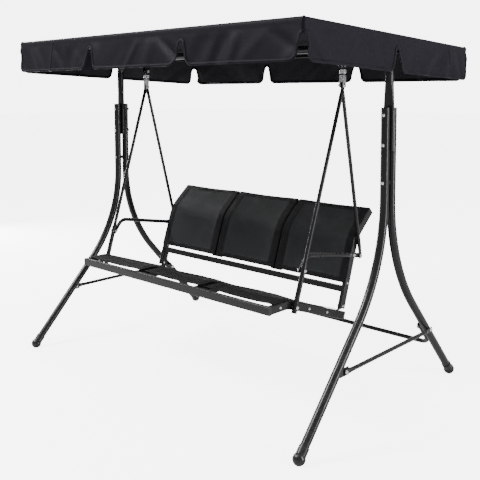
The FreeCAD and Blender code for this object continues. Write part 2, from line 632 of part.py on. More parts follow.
def hangers():
    """The V at each end: a front hanger in its sleeve and a rear hanger to the arm."""
    tip = ({"start": "hanger_flat"}, "flat_ease", "flat_wide", "flat_thick")
    tips = ({"start": "hanger_flat", "end": "hanger_flat"}, "flat_ease", "flat_wide", "flat_thick")
    over = S["flat_wide"] / 2
    for side, sx in SIDES:
        hook = V(sx * S["hook_side"], 0, S["hanger_up"])
        step = X * sx * hook_step()
        end = hanger_point(sx, S["joint_up"] - S["joint_lap"])
        way = (end - hook - step).normalize()
        label = "hanger_front_" + side
        blank = tube(label, Ring("hanger_od", "hanger_wall"), [hook + step - way * over, end], X, flat=tip)
        joint = hanger_point(sx, S["joint_up"])
        drilled(label, blank, [(hook + step, X, "hook_bolt", 30), (joint, X, "frame_bolt", 40)])

        label = "hanger_sleeve_" + side
        top = hanger_point(sx, S["joint_up"] + S["joint_lap"] / 2)
        foot = hanger_point(sx, S["sleeve_end_up"])
        blank = tube(label, Ring("sleeve_od", "sleeve_wall"), [top, foot], X)
        rail = hanger_point(sx, S["rail_joint_up"])
        drilled(label, blank, [(joint, X, "frame_bolt", 40), (rail, X, "frame_bolt", 40)])

        label = "hanger_rear_" + side
        rear = V(arm_x(sx) + sx * (S["flat_thick"] + S["arm_gap"]), S["arm_rear_y"], S["arm_rear_up"])
        start = hook - step
        way = (rear - start).normalize()
        points = [start - way * over, rear + way * over]
        blank = tube(label, Ring("hanger_od", "hanger_wall"), points, X, flat=tips)
        drilled(label, blank, [(start, X, "hook_bolt", 30), (rear, X, "frame_bolt", 30)])


def armrests():
    """Each armrest is one bent tube. Its squashed rear end lies on the back's side tube."""
    tips = ({"start": "arm_flat", "end": "arm_rear_flat"}, "flat_ease", "flat_wide", "flat_thick")
    over = S["flat_wide"] / 2
    for side, sx in SIDES:
        label = "armrest_" + side
        x = arm_x(sx)
        joint = hanger_point(sx, S["joint_up"])
        front = V(x, joint.y, joint.z)
        corner = V(x, S["arm_corner_y"], S["arm_corner_up"])
        rear = V(x, S["arm_rear_y"], S["arm_rear_up"])
        start = front - (corner - front).normalize() * over
        stop = rear + (rear - corner).normalize() * over
        line = [start, corner, stop]
        blank = tube(label, Ring("arm_od", "arm_wall"), line, X, bend="arm_bend", flat=tips)
        holes = [(spot, X, "frame_bolt", 30) for spot in (front, rear, arm_cross(x))]
        drilled(label, blank, holes)


def arm_cross(x):
    """Where an armrest's line crosses the middle of the back's side tube."""
    rise = (S["arm_corner_up"] - S["arm_rear_up"]) / (S["arm_rear_y"] - S["arm_corner_y"])
    reach = S["arm_rear_up"] + S["arm_rear_y"] * rise - rail_top(S["back_foot"])
    y = (S["back_foot"] + reach * S["back_slope"]) / (1 + rise * S["back_slope"])
    return V(x, y, S["arm_rear_up"] + (S["arm_rear_y"] - y) * rise)


def seat_line(x, lift=0.0, front=None, rear=None):
    """The seat's side profile: level at the front, then sloping down to the rear."""
    front = S["seat_front"] + S["rail_thick"] / 2 if front is None else front
    rear = S["seat_rear"] if rear is None else rear
    drop = S["seat_slope"]
    tilt = math.atan(drop)
    corner = S["seat_break"] + lift * math.tan(tilt / 2)
    down = S["seat_up"] + lift - (rear - corner) * drop
    return [V(x, front, S["seat_up"] + lift), V(x, corner, S["seat_up"] + lift), V(x, rear, down)]


def back_line(x, low, high_cut=0.0):
    """The back's side profile: a straight run, then rolled over to the rear."""
    foot = V(x, back_y(low), low)
    brk = V(x, back_y(S["back_break_up"]), S["back_break_up"])
    top = V(x, S["back_top_y"], S["back_top_up"])
    top = top - (top - brk).normalize() * high_cut
    return [foot, brk, top]


def rail_top(y):
    """The height of the side rail's upper face along its slope."""
    tilt = math.atan(S["seat_slope"])
    return S["seat_up"] - (y - S["seat_break"]) * S["seat_slope"] + S["rail_tall"] / 2 / math.cos(tilt)


def back_y(height):
    return S["back_foot"] + (height - rail_top(S["back_foot"])) * S["back_slope"]


def rail_bolt_spots(x):
    """Where the small bolts cross a side rail, on its centre line."""
    ways = [S["rail_bolt_%d" % k] for k in (1, 2, 3, 4)]
    return [V(x, y, S["seat_up"] - max(0, y - S["seat_break"]) * S["seat_slope"]) for y in ways]


def tube_bolt_spots(x):
    """Where the small bolts cross a back side tube."""
    return [V(x, back_y(S["tube_bolt_%d" % k]), S["tube_bolt_%d" % k]) for k in (1, 2)]


def seat_frame():
    """Side rails, front and rear rails, and two pairs of middle supports."""
    rail = Box("rail_thick", "rail_tall", "rail_wall")
    joint = hanger_point(1, S["rail_joint_up"])
    through = 2 * S["rail_thick"]
    for side, sx in SIDES:
        x = sx * S["seat_half"]
        label = "seat_side_rail_" + side
        blank = tube(label, rail, seat_line(x), X, bend="seat_bend")
        holes = [(V(x, joint.y, joint.z), X, "frame_bolt", through)]
        holes += [(spot, X, "rail_bolt", through) for spot in rail_bolt_spots(x)]
        drilled(label, blank, holes)
    half = S["seat_half"] + S["rail_thick"] / 2
    front = [V(-half, S["seat_front"], S["seat_up"]), V(half, S["seat_front"], S["seat_up"])]
    keep(tube("seat_front_rail", rail, front, Y), "seat_front_rail")
    inner = S["seat_half"] - S["rail_thick"] / 2
    end = seat_line(0)[2]
    y = S["seat_rear"] - S["rail_thick"]
    z = end.z + S["seat_slope"] * S["rail_thick"]
    rear = [V(-inner, y, z), V(inner, y, z)]
    tilt = V(0, 1, -S["seat_slope"])
    keep(tube("seat_rear_rail", Box("rail_thick", "mid_tall", "rail_wall"), rear, tilt), "seat_rear_rail")
    made = []
    for place in (-1, 1):
        for hand in (-1, 1):
            x = place * S["mid_side"] + hand * S["mid_half_gap"]
            stop = y - S["rail_thick"] / 2 - 0.5
            made.append((x, seat_line(x, rear=stop)))
    return made


def grouped(label, section, lines, bend):
    """Like tubes that share one node, copied from one modelled tube."""
    first = tube(label + "_one", section, lines[0][1], X, bend=bend)
    DOC.recompute()
    group = DOC.addObject("Part::Compound", "made_" + label)
    links = [first]
    for k, (x, line) in enumerate(lines[1:]):
        twin = DOC.addObject("Part::Feature", "%s_twin%d" % (label, k))
        twin.Shape = first.Shape
        moved = first.Placement.Base + V(x - lines[0][0], 0, 0)
        twin.Placement = FreeCAD.Placement(moved, first.Placement.Rotation)
        links.append(twin)
    group.Links = links
    return keep(group, label)


def back_frame():
    """Side tubes with a rolled top, cross tubes and two pairs of middle supports."""
    rail = Box("rail_thick", "rail_tall", "rail_wall")
    for side, sx in SIDES:
        x = sx * S["seat_half"]
        label = "back_side_tube_" + side
        low = rail_top(S["back_foot"]) + S["rail_tall"] / 2 * S["seat_slope"] + 3
        blank = tube(label, rail, back_line(x, low), X, bend="back_bend")
        through = 2 * S["rail_thick"]
        holes = [(arm_cross(x), X, "frame_bolt", through)]
        holes += [(spot, X, "rail_bolt", through) for spot in tube_bolt_spots(x)]
        drilled(label, blank, holes)
    inner = S["seat_half"] - S["rail_thick"] / 2
    top = back_line(0, 400, S["cross_od"] / 2)[2]
    line = [V(-inner, top.y, top.z), V(inner, top.y, top.z)]
    keep(tube("back_top_rail", Ring("cross_od", "rail_wall"), line, Y),
         "back_top_rail")
    y = back_y(S["back_low_up"])
    lean = V(0, 1, -S["back_slope"])
    keep(tube("back_lower_rail", Box("rail_thick", "mid_tall", "rail_wall"),
              [V(-inner, y, S["back_low_up"]), V(inner, y, S["back_low_up"])], lean), "back_lower_rail")
    made = []
    for place in (-1, 1):
        for hand in (-1, 1):
            x = place * S["mid_side"] + hand * S["back_half_gap"]
            low = S["back_low_up"] + S["mid_tall"] / 2 * (1 + S["back_slope"]) + 1
            made.append((x, back_line(x, low, S["cross_od"] + S["mid_tall"] / 4)))
    return made


def offset_strip(label, line, bend, x0, x1, out, thick):
    """A sheet that follows a profile, a set distance off it, as one extruded strip."""
    edges = []
    for side in (out, out + thick):
        ways = [(line[k + 1] - line[k]).normalize() for k in range(2)]
        lifts = [X.cross(way) for way in ways]
        first = line[0] + lifts[0] * side
        last = line[2] + lifts[1] * side
        half = ways[0].getAngle(ways[1]) / 2
        corner = line[1] + (lifts[0] + lifts[1]).normalize() * (side / math.cos(half))
        edges.append((first, corner, last))
    wires = []
    turn = X.dot((line[1] - line[0]).cross(line[2] - line[1]))
    for k, (first, corner, last) in enumerate(edges):
        side = out + thick * k
        radius = bend - side if turn > 0 else bend + side
        before, after = (corner - first).normalize(), (last - corner).normalize()
        half = before.getAngle(after) / 2
        reach = radius * math.tan(half)
        start, stop = corner - before * reach, corner + after * reach
        middle = corner + (after - before).normalize() * (radius / math.cos(half) - radius)
        wires.append([Part.LineSegment(first, start).toShape(), Part.Arc(start, middle, stop).toShape(),
                      Part.LineSegment(stop, last).toShape()])
    caps = [Part.LineSegment(edges[0][k], edges[1][k]).toShape() for k in (0, 2)]
    face = Part.Face(Part.Wire(Part.__sortEdges__(wires[0] + wires[1] + caps)))
    face.translate(X * (x0 - line[0].x))
    return keep(solid(label, face.extrude(X * (x1 - x0))), label)


def bays(half_gap):
    """The three sling panels' edges along X: the outer rails and the middle supports."""
    outer = S["seat_half"]
    inner = S["mid_side"] + half_gap
    near = S["mid_side"] - half_gap
    lap = S["sling_lap"]
    return (("left", -outer - lap, -inner + lap), ("middle", -near - lap, near + lap),
            ("right", inner - lap, outer + lap))


def slings():
    """Three seat panels and three back panels of woven sling fabric."""
    for name, x0, x1 in bays(S["mid_half_gap"]):
        front = S["seat_front"] + S["rail_thick"] / 2 + S["seat_slot"]
        line = seat_line(0, front=front, rear=S["back_foot"] - S["rail_tall"] / 2 - 8)
        out = S["rail_tall"] / 2 + S["sling_gap"]
        offset_strip("seat_sling_" + name, line, S["seat_bend"], x0, x1, out, S["sling_thick"])
    for name, x0, x1 in bays(S["back_half_gap"]):
        low = S["back_low_up"] + S["mid_tall"] / 2 + S["back_slot"]
        line = back_line(0, low)
        out = S["rail_tall"] / 2 + S["sling_gap"]
        offset_strip("back_sling_" + name, line, S["back_bend"], x0, x1, out, S["sling_thick"])


def corner_brackets():
    """A bent plate inside each rear corner holds the back to the seat."""
    made = []
    thick = S["plate_thick"]
    for sx in (-1, 1):
        inner = sx * (S["seat_half"] - S["rail_thick"] / 2)
        low = min(inner, inner - sx * thick)
        y = S["back_foot"] - S["rail_tall"] / 2
        base = rail_top(y)
        steps = [(-23, -15), (3, -24), (3, -6), (37, -6), (61, 62), (33, 62), (9, -1), (-23, -1)]
        plate = [V(low, y + out, base + up) for out, up in steps]
        face = Part.Face(Part.makePolygon(plate + plate[:1]))
        spot = tube_bolt_spots(low)[0]
        hole = Part.makeCylinder(S["rail_bolt"] / 2 + S["hole_fit"], 3 * thick, spot - X * thick, X)
        made.append(face.extrude(X * thick).cut(hole))
    return together("corner_brackets", made)


def seat_bolts():
    """The seat's own bolts: hooks, sleeve joints, rail joints and armrest ends."""
    made = []
    for sx in (-1, 1):
        hook = V(sx * S["hook_side"], 0, S["hanger_up"])
        grip = 2 * (S["flat_thick"] + S["link_gap"] + S["link_wall"])
        made.append(bolt(hook, X * sx, grip, "hook_bolt"))
        joint = hanger_point(sx, S["joint_up"])
        outer = abs(joint.x) + S["sleeve_od"] / 2 + S["arm_gap"]
        inner = abs(arm_x(sx)) - S["flat_thick"] / 2 - S["arm_gap"]
        made.append(bolt(V(sx * (outer + inner) / 2, joint.y, joint.z), X * sx, outer - inner, "frame_bolt"))
        rail = hanger_point(sx, S["rail_joint_up"])
        outer = abs(rail.x) + S["sleeve_od"] / 2 + S["arm_gap"]
        inner = S["seat_half"] - S["rail_thick"] / 2
        made.append(bolt(V(sx * (outer + inner) / 2, rail.y, rail.z), X * sx, outer - inner, "frame_bolt"))
        outer = abs(arm_x(sx)) + S["flat_thick"] / 2 + S["arm_gap"]
        cross = arm_cross(sx * (outer + inner) / 2)
        made.append(bolt(cross, X * sx, outer - inner, "frame_bolt"))
        outer += S["flat_thick"] + S["arm_gap"]
        inner = abs(arm_x(sx)) - S["flat_thick"] / 2 - S["arm_gap"]
        tip = V(sx * (outer + inner) / 2, S["arm_rear_y"], S["arm_rear_up"])
        made.append(bolt(tip, X * sx, outer - inner, "frame_bolt"))
        side = sx * S["seat_half"]
        low, high = tube_bolt_spots(side)
        grip = S["rail_thick"]
        made += [bolt(spot, X * sx, grip, "rail_bolt") for spot in rail_bolt_spots(side) + [high]]
        grip += S["plate_thick"]
        made.append(bolt(low - X * sx * S["plate_thick"] / 2, X * sx, grip, "rail_bolt"))
    return together("seat_bolts", made)


# ---------------------------------------------------------------- canopy


def roof_place():
    """The canopy turns about the beam's axis. At rest its front edge is a little high."""
    pivot = V(0, 0, S["beam_up"])
    return FreeCAD.Placement(pivot, FreeCAD.Rotation(X, -S["roof_tilt"]))


def roof_tube(label, start, stop, normal):
    body = tube(label, Ring("roof_rail_od", "roof_rail_wall"), [start, stop], normal)
    body.Placement = roof_place().multiply(body.Placement)
    return body


def roof_edges():
    """The canopy frame's centre lines: half length, front and rear, from its pivot."""
    inset = S["valance_thick"] + S["roof_gap"] + S["roof_rail_od"] / 2
    return S["roof_half"] - inset, S["roof_front"] - inset, S["roof_rear"] - inset


def roof_frame():
    """Four rails with moulded corners, and two cross arms that carry the collars."""
    side, front, rear = roof_edges()
    up, block = S["roof_rail_up"], S["corner_block"]
    inside = block - S["roof_rail_od"] / 2
    for name, y in (("front", -front), ("rear", rear)):
        label = "canopy_rail_" + name
        keep(roof_tube(label, V(inside - side, y, up), V(side - inside, y, up), Y), label)
    for name, sx in SIDES:
        label = "canopy_rail_" + name
        keep(roof_tube(label, V(sx * side, inside - front, up), V(sx * side, rear - inside, up), X), label)
    blocks = []
    for sx in (-1, 1):
        for y in (-front, rear):
            reach = S["roof_rail_od"] / 2 + 0.5
            outer = V(sx * (side + reach), y + reach * (1 if y > 0 else -1), up)
            low = V(min(outer.x, outer.x - sx * block), outer.y - (block if y > 0 else 0), up - reach)
            cube = Part.makeBox(block, block, 2 * reach, low)
            upright = [edge for edge in cube.Edges if abs(edge.tangentAt(edge.FirstParameter).z) > 0.9]
            outer = max(upright, key=lambda edge: (edge.CenterOfMass - V(0, 0, up)).Length)
            blocks.append(cube.makeFillet(block / 2, [outer]))
    shape = Part.makeCompound(blocks)
    keep(solid("canopy_corners", shape, roof_place()), "canopy_corners")
    arms = []
    reach = S["roof_rail_od"] / 2 + 0.2
    for sx in (-1, 1):
        start = V(sx * S["arm_side"], reach - front, up)
        long_ = front + rear - 2 * reach
        outer = Part.makeCylinder(S["roof_rail_od"] / 2, long_, start, Y)
        arms.append(outer.cut(Part.makeCylinder(S["roof_rail_od"] / 2 - S["roof_rail_wall"], long_, start, Y)))
    return keep(solid("canopy_cross_arms", Part.makeCompound(arms), roof_place()), "canopy_cross_arms")


# The knobs point back and down; each lobe's radius is this share of the knob's.
KNOB_WAY = V(0, 0.8, -0.6)
KNOB_LOBE = 0.3


def collars():
    """A clamp collar on the beam under each cross arm, with a boss for its knob."""
    made = []
    bore = S["beam_od"] / 2 + S["collar_fit"]
    outer = bore + S["collar_wall"]
    wide = S["collar_wide"]
    for sx in (-1, 1):
        x = sx * S["arm_side"]
        ring = Part.makeCylinder(outer, wide, V(x - wide / 2, 0, 0), X)
        saddle_tall = S["roof_rail_up"]
        deep = S["saddle_deep"]
        saddle = Part.makeBox(wide, deep, saddle_tall, V(x - wide / 2, -deep / 2, 0))
        boss = Part.makeCylinder(S["boss_od"] / 2, S["knob_out"] - 1, V(x, 0, 0), KNOB_WAY)
        arm = Part.makeCylinder(S["roof_rail_od"] / 2 + S["seat_fit"], 100, V(x, -50, S["roof_rail_up"]), Y)
        hole = Part.makeCylinder(S["knob_stem"] / 2 + S["seat_fit"], 60, V(x, 0, 0), KNOB_WAY)
        shape = ring.fuse(saddle).fuse(boss).cut(Part.makeCylinder(bore, wide, V(x - wide / 2, 0, 0), X))
        made.append(shape.cut(arm).cut(hole).removeSplitter())
    return keep(solid("tilt_collars", Part.makeCompound(made), roof_place()), "tilt_collars")


def knobs():
    """A five-lobed knob on a threaded stem clamps each collar to the beam."""
    way = KNOB_WAY
    for side, sx in SIDES:
        centre = V(sx * S["arm_side"], 0, 0)
        r = S["knob_od"] / 2
        start = centre + way * S["knob_out"]
        lobe_r = r * KNOB_LOBE
        grip = Part.makeCylinder(r - lobe_r, S["knob_long"], V(0, 0, 0), Z)
        for k in range(5):
            turn = 2 * math.pi * k / 5
            spot = V(math.cos(turn), math.sin(turn), 0) * (r - lobe_r)
            lobe = Part.makeCylinder(lobe_r, S["knob_long"], spot, Z)
            grip = grip.fuse(lobe)
        grip.Placement = FreeCAD.Placement(start, FreeCAD.Rotation(Z, way))
        stem_start = centre + way * (S["beam_od"] / 2 + 0.2)
        long_ = S["knob_out"] - S["beam_od"] / 2
        stem = Part.makeCylinder(S["knob_stem"] / 2, long_, stem_start, way)
        label = "tilt_knob_" + side
        keep(solid(label, grip.fuse(stem).removeSplitter(), roof_place()), label)


# A valance's notch is this share of its width at the top.
NOTCH_TOP = 1 / 3


def valance(label, along, long_, notches, base):
    """A hanging border with tapered notches and rounded lower corners."""
    drop, thick = S["valance_drop"], S["valance_thick"]
    panel = Part.makeBox(long_, thick, drop, V(0, 0, -drop))
    for at, wide in notches:
        low, high = wide / 2, wide / 2 * NOTCH_TOP
        deep = S["notch_deep"]
        cut = [V(at - low, 0, -drop - 1), V(at - high, 0, -drop + deep)]
        cut += [V(at + high, 0, -drop + deep), V(at + low, 0, -drop - 1)]
        face = Part.Face(Part.makePolygon([V(p.x, -5, p.z) for p in cut + cut[:1]]))
        panel = panel.cut(face.extrude(V(0, thick + 10, 0)))
    piece = solid(label, panel)
    turn = FreeCAD.Rotation(Z, along)
    piece.Placement = roof_place().multiply(FreeCAD.Placement(base, turn))
    return keep(piece, label)


def canopy_cover():
    """The cover: a top sheet and four notched valances."""
    half, front, rear = S["roof_half"], S["roof_front"], S["roof_rear"]
    thick = S["valance_thick"]
    under = S["roof_rail_up"] + S["roof_rail_od"] / 2 + S["roof_gap"]
    top = Part.makeBox(2 * half, front + rear, S["roof_thick"], V(-half, -front, under))
    upright = [edge for edge in top.Edges if abs(edge.tangentAt(edge.FirstParameter).z) > 0.9]
    keep(solid("canopy_top", top.makeFillet(18, upright), roof_place()), "canopy_top")
    wide = S["notch_wide"]
    edge = 20.0
    long_ = 2 * half - 2 * edge
    thirds = [(long_ / 3, wide), (2 * long_ / 3, wide)]
    valance("canopy_valance_front", 0, long_, thirds, V(edge - half, -front, under))
    valance("canopy_valance_rear", 0, long_, thirds, V(edge - half, rear - thick, under))
    deep = front + rear - 2 * edge
    valance("canopy_valance_left", 90, deep, [(deep / 2, wide)], V(thick - half, edge - front, under))
    valance("canopy_valance_right", 90, deep, [(deep / 2, wide)], V(half, edge - front, under))


# ---------------------------------------------------------------- build

legs()
foot_caps()
side_braces()
brace_tabs()
rear_stretcher()
top_beam()
beam_joiner()
frame_bolts()
leg_spacers()
hanger_brackets()
springs()
hanger_links()
hangers()
armrests()
grouped("seat_mid_supports", Box("mid_thick", "mid_tall", "rail_wall"), seat_frame(), "seat_bend")
grouped("back_mid_supports", Box("mid_thick", "mid_tall", "rail_wall"), back_frame(), "back_bend")
slings()
corner_brackets()
seat_bolts()
roof_frame()
collars()
knobs()
canopy_cover()

DOC.recompute()
bad = [thing.Name for thing in DOC.Objects if "Invalid" in thing.State or "Error" in thing.State]
if bad:
    raise SystemExit("objects in error: %s" % bad)
for node in NODES:
    if node.Shape.isNull() or not node.Shape.isValid() or not node.Shape.Solids:
        raise SystemExit("bad shape: " + node.Label)
os.makedirs("parts", exist_ok=True)
for node in NODES:
    node.Shape.exportStep(os.path.join("parts", node.Label + ".step"))
print(len(NODES), "nodes")
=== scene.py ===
import json
import math

import bpy
from mathutils import Matrix, Vector, noise


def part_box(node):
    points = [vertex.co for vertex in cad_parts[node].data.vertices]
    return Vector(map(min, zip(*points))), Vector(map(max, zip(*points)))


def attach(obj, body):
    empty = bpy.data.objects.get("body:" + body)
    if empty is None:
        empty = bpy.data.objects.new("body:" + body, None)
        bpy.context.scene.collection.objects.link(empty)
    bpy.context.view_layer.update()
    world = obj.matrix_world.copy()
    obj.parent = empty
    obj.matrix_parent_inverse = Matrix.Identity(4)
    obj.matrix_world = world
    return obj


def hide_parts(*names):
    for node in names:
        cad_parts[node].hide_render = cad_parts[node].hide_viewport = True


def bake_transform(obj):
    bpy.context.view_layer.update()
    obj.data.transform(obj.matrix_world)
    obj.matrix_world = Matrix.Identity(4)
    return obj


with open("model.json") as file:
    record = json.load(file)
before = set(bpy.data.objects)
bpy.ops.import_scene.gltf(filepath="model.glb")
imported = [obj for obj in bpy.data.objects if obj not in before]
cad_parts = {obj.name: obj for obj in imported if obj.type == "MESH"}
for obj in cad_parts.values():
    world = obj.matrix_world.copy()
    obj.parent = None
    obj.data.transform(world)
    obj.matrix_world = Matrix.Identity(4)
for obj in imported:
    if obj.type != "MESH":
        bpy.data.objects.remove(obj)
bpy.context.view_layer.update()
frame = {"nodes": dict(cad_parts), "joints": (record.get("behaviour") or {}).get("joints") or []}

nodes = frame["nodes"]
joints = {joint["name"]: joint for joint in frame["joints"]}


# ------------------------------------------------------------ stand, hangers and seat tubes
# Bent steel tube, welded and bolted, then powder coated a satin charcoal black. The coat has
# a fine peel, thins to a duller grey where it is handled, and holds a little dust on top.

def effect(name, inputs, outputs):
    """An empty node group with named inputs and outputs."""
    group = bpy.data.node_groups.new(name, "ShaderNodeTree")
    for label, value in inputs.items():
        kind = "NodeSocketVector" if isinstance(value, tuple) else "NodeSocketFloat"
        group.interface.new_socket(label, in_out="INPUT", socket_type=kind).default_value = value
    for label in outputs:
        group.interface.new_socket(label, in_out="OUTPUT", socket_type="NodeSocketFloat")
    ins = group.nodes.new("NodeGroupInput").outputs
    outs = group.nodes.new("NodeGroupOutput").inputs
    return group, ins, outs


def put(tree, kind, feeds=None, **settings):
    """Adds a node. Its feeds go in by name or number, as numbers or as wires."""
    node = tree.nodes.new("ShaderNode" + kind)
    for name, value in settings.items():
        setattr(node, name, value)
    for name, value in (feeds or {}).items():
        if isinstance(value, bpy.types.NodeSocket):
            tree.links.new(value, node.inputs[name])
        else:
            node.inputs[name].default_value = value
    return node


def sums(tree, how, *feeds):
    """One step of arithmetic on a mask or a height."""
    return put(tree, "Math", dict(enumerate(feeds)), operation=how).outputs[0]


def between(tree, value, low, high):
    """A soft step: 0 below low and 1 above high."""
    feeds = {"Value": value, "From Min": low, "From Max": high}
    return put(tree, "MapRange", feeds, interpolation_type="SMOOTHSTEP").outputs[0]


def two_tone(tree, mask, first, second):
    """One colour where the mask is 0 and the other where it is 1."""
    return put(tree, "Mix", {0: mask, 6: first, 7: second}, data_type="RGBA").outputs[2]


def shade(colour, times=1.0):
    """A colour for a socket, made lighter or darker."""
    return (*(times * part for part in colour), 1.0)


def speckle(tree, vector, scale, detail=2.0, rough=0.5):
    feeds = {"Vector": vector, "Scale": scale, "Detail": detail, "Roughness": rough}
    return put(tree, "TexNoise", feeds).outputs["Fac"]


def coat_peel():
    """The fine orange peel of a sprayed or moulded skin."""
    group, ins, outs = effect("Coat Peel", {"Vector": (0, 0, 0), "Pitch": 0.002}, ["Height", "Patch"])
    scale = sums(group, "DIVIDE", 1.0, ins["Pitch"])
    broad = speckle(group, ins["Vector"], scale)
    fine = speckle(group, ins["Vector"], sums(group, "MULTIPLY", scale, 4.0))
    height = sums(group, "MULTIPLY_ADD", fine, 0.3, broad)
    group.links.new(height, outs["Height"])
    group.links.new(speckle(group, ins["Vector"], 7.0, 4.0), outs["Patch"])
    return group


def light_scuffs():
    """Short hairline rubs, mostly in patches where hands and shoes reach."""
    group, ins, outs = effect("Light Scuffs", {"Vector": (0, 0, 0), "Amount": 0.5}, ["Mask"])
    stretch = put(group, "Mapping", {"Vector": ins["Vector"], "Scale": (60.0, 420.0, 90.0)})
    hair = speckle(group, stretch.outputs[0], 3.0, 6.0, 0.65)
    patch = speckle(group, ins["Vector"], 9.0, 3.0)
    lines = between(group, hair, 0.62, 0.72)
    zone = between(group, patch, 0.52, 0.72)
    mask = sums(group, "MULTIPLY", sums(group, "MULTIPLY", lines, zone), ins["Amount"])
    group.links.new(mask, outs["Mask"])
    return group


def settled_dust():
    """Dust that lies on whatever faces up."""
    group, ins, outs = effect("Settled Dust", {"Vector": (0, 0, 0), "Amount": 0.3}, ["Mask"])
    facing = put(group, "NewGeometry").outputs["Normal"]
    up = put(group, "SeparateXYZ", {0: facing}).outputs["Z"]
    lying = between(group, up, 0.25, 0.95)
    grains = between(group, speckle(group, ins["Vector"], 85.0, 5.0, 0.7), 0.35, 0.75)
    mask = sums(group, "MULTIPLY", sums(group, "MULTIPLY", lying, grains), ins["Amount"])
    group.links.new(mask, outs["Mask"])
    return group


PEEL, SCUFFS, DUST = coat_peel(), light_scuffs(), settled_dust()
DUST_COLOUR = shade((0.22, 0.21, 0.20))


def blank_material(name):
    """A new material with its shader, and the surface's own coordinates."""
    material = bpy.data.materials.new(name)
    material.use_nodes = True
    tree = material.node_tree
    shader = tree.nodes["Principled BSDF"]
    where = put(tree, "TexCoord").outputs["Object"]
    return material, tree, shader, where


def use(tree, group, feeds):
    node = put(tree, "Group")
    node.node_tree = group
    for name, value in feeds.items():
        if isinstance(value, bpy.types.NodeSocket):
            tree.links.new(value, node.inputs[name])
        else:
            node.inputs[name].default_value = value
    return node.outputs


def hard_coat(name, colour, rubbed, gloss, peel=0.0016, depth=0.00012, scuffs=0.6, dust=0.25, shine=0.4):
    """Powder coat or moulded plastic."""
    material, tree, shader, where = blank_material(name)
    skin = use(tree, PEEL, {"Vector": where, "Pitch": peel})
    rub = use(tree, SCUFFS, {"Vector": where, "Amount": scuffs})["Mask"]
    lying = use(tree, DUST, {"Vector": where, "Amount": dust})["Mask"]
    base = two_tone(tree, skin["Patch"], shade(colour, 0.8), shade(colour))
    base = two_tone(tree, rub, base, shade(rubbed))
    base = two_tone(tree, lying, base, DUST_COLOUR)
    tree.links.new(base, shader.inputs["Base Color"])
    rough = sums(tree, "MULTIPLY_ADD", skin["Patch"], 0.12, gloss - 0.06)
    rough = sums(tree, "MULTIPLY_ADD", rub, 0.25, rough)
    rough = sums(tree, "MULTIPLY_ADD", lying, 0.5, rough)
    tree.links.new(rough, shader.inputs["Roughness"])
    shader.inputs["Specular IOR Level"].default_value = shine
    bump = put(tree, "Bump", {"Height": skin["Height"], "Distance": depth, "Strength": 0.6})
    tree.links.new(bump.outputs[0], shader.inputs["Normal"])
    return material


CHARCOAL = (0.0075, 0.0075, 0.0085)
tube_coat = hard_coat("charcoal powder coat", CHARCOAL, (0.026, 0.026, 0.028), 0.24, shine=0.28)
TUBE_WORDS = ("leg_front", "leg_rear", "brace", "stretcher", "beam", "bracket_left", "bracket_right",
              "hanger_front", "hanger_rear", "sleeve", "armrest", "rail", "back_side", "supports",
              "corner_brackets", "cross_arms", "tilt_collars", "leg_spacers")


def clad(name, material):
    """Gives a piece of the frame one material."""
    nodes[name].data.materials.clear()
    nodes[name].data.materials.append(material)


for name in nodes:
    if any(word in name for word in TUBE_WORDS):
        clad(name, tube_coat)


# ------------------------------------------------------------ weld beads and tube plugs
# Cross tubes are welded to the side tubes all round, and the coat runs over the beads. Each
# open tube end is closed by a pushed-in black plastic plug with a low domed face.

def mesh_piece(name, points, faces, material, smooth=True):
    """A mesh object in the part's own frame, in metres."""
    mesh = bpy.data.meshes.new(name)
    mesh.from_pydata([tuple(point) for point in points], [], faces)
    mesh.validate()
    mesh.polygons.foreach_set("use_smooth", [smooth] * len(mesh.polygons))
    mesh.materials.append(material)
    piece = bpy.data.objects.new(name, mesh)
    bpy.context.scene.collection.objects.link(piece)
    return piece


def sweep(line, radius, sides=10, closed=False):
    """Points and faces of a round wire along a line; radius may be a function of the place."""
    count = len(line)
    points, faces = [], []
    side = None
    for k, spot in enumerate(line):
        ahead = line[(k + 1) % count] if closed or k + 1 < count else spot
        behind = line[k - 1] if closed or k > 0 else spot
        way = (ahead - behind).normalized()
        if side is None:
            side = way.orthogonal().normalized()
        side = (side - way * side.dot(way)).normalized()
        other = way.cross(side)
        thick = radius(k / count) if callable(radius) else radius
        for turn in range(sides):
            angle = 2 * math.pi * turn / sides
            points.append(spot + (side * math.cos(angle) + other * math.sin(angle)) * thick)
    last = count if closed else count - 1
    for k in range(last):
        for turn in range(sides):
            a, b = k * sides + turn, k * sides + (turn + 1) % sides
            c, d = (b + sides) % (count * sides), (a + sides) % (count * sides)
            faces.append((a, b, c, d))
    if not closed:
        faces.append(tuple(range(sides))[::-1])
        faces.append(tuple(range((count - 1) * sides, count * sides)))
    return points, faces


def gathered(name, parts, material, smooth=True):
    """Several point-and-face lists made into one piece."""
    points, faces = [], []
    for some_points, some_faces in parts:
        shift = len(points)
        points += some_points
        faces += [tuple(k + shift for k in face) for face in some_faces]
    return mesh_piece(name, points, faces, material, smooth)


BEAD, BEAD_STEPS = 0.0022, 64
RIPPLES, RIPPLE_DEEP = 21, 0.16
ROUND_TUBE, BOX_TUBE = 1.0, 0.2


def bead_round(centre, wide, tall, section):
    """A rippled weld bead round a tube's end, for a round tube or a box one."""
    line = []
    for k in range(BEAD_STEPS):
        angle = 2 * math.pi * k / BEAD_STEPS
        across, up = math.cos(angle), math.sin(angle)
        line.append(centre + wide * math.copysign(abs(across) ** section, across)
                    + tall * math.copysign(abs(up) ** section, up))

    def ripple(share):
        return BEAD * (1 + RIPPLE_DEEP * math.sin(2 * math.pi * RIPPLES * share))

    return sweep(line, ripple, 8, closed=True)


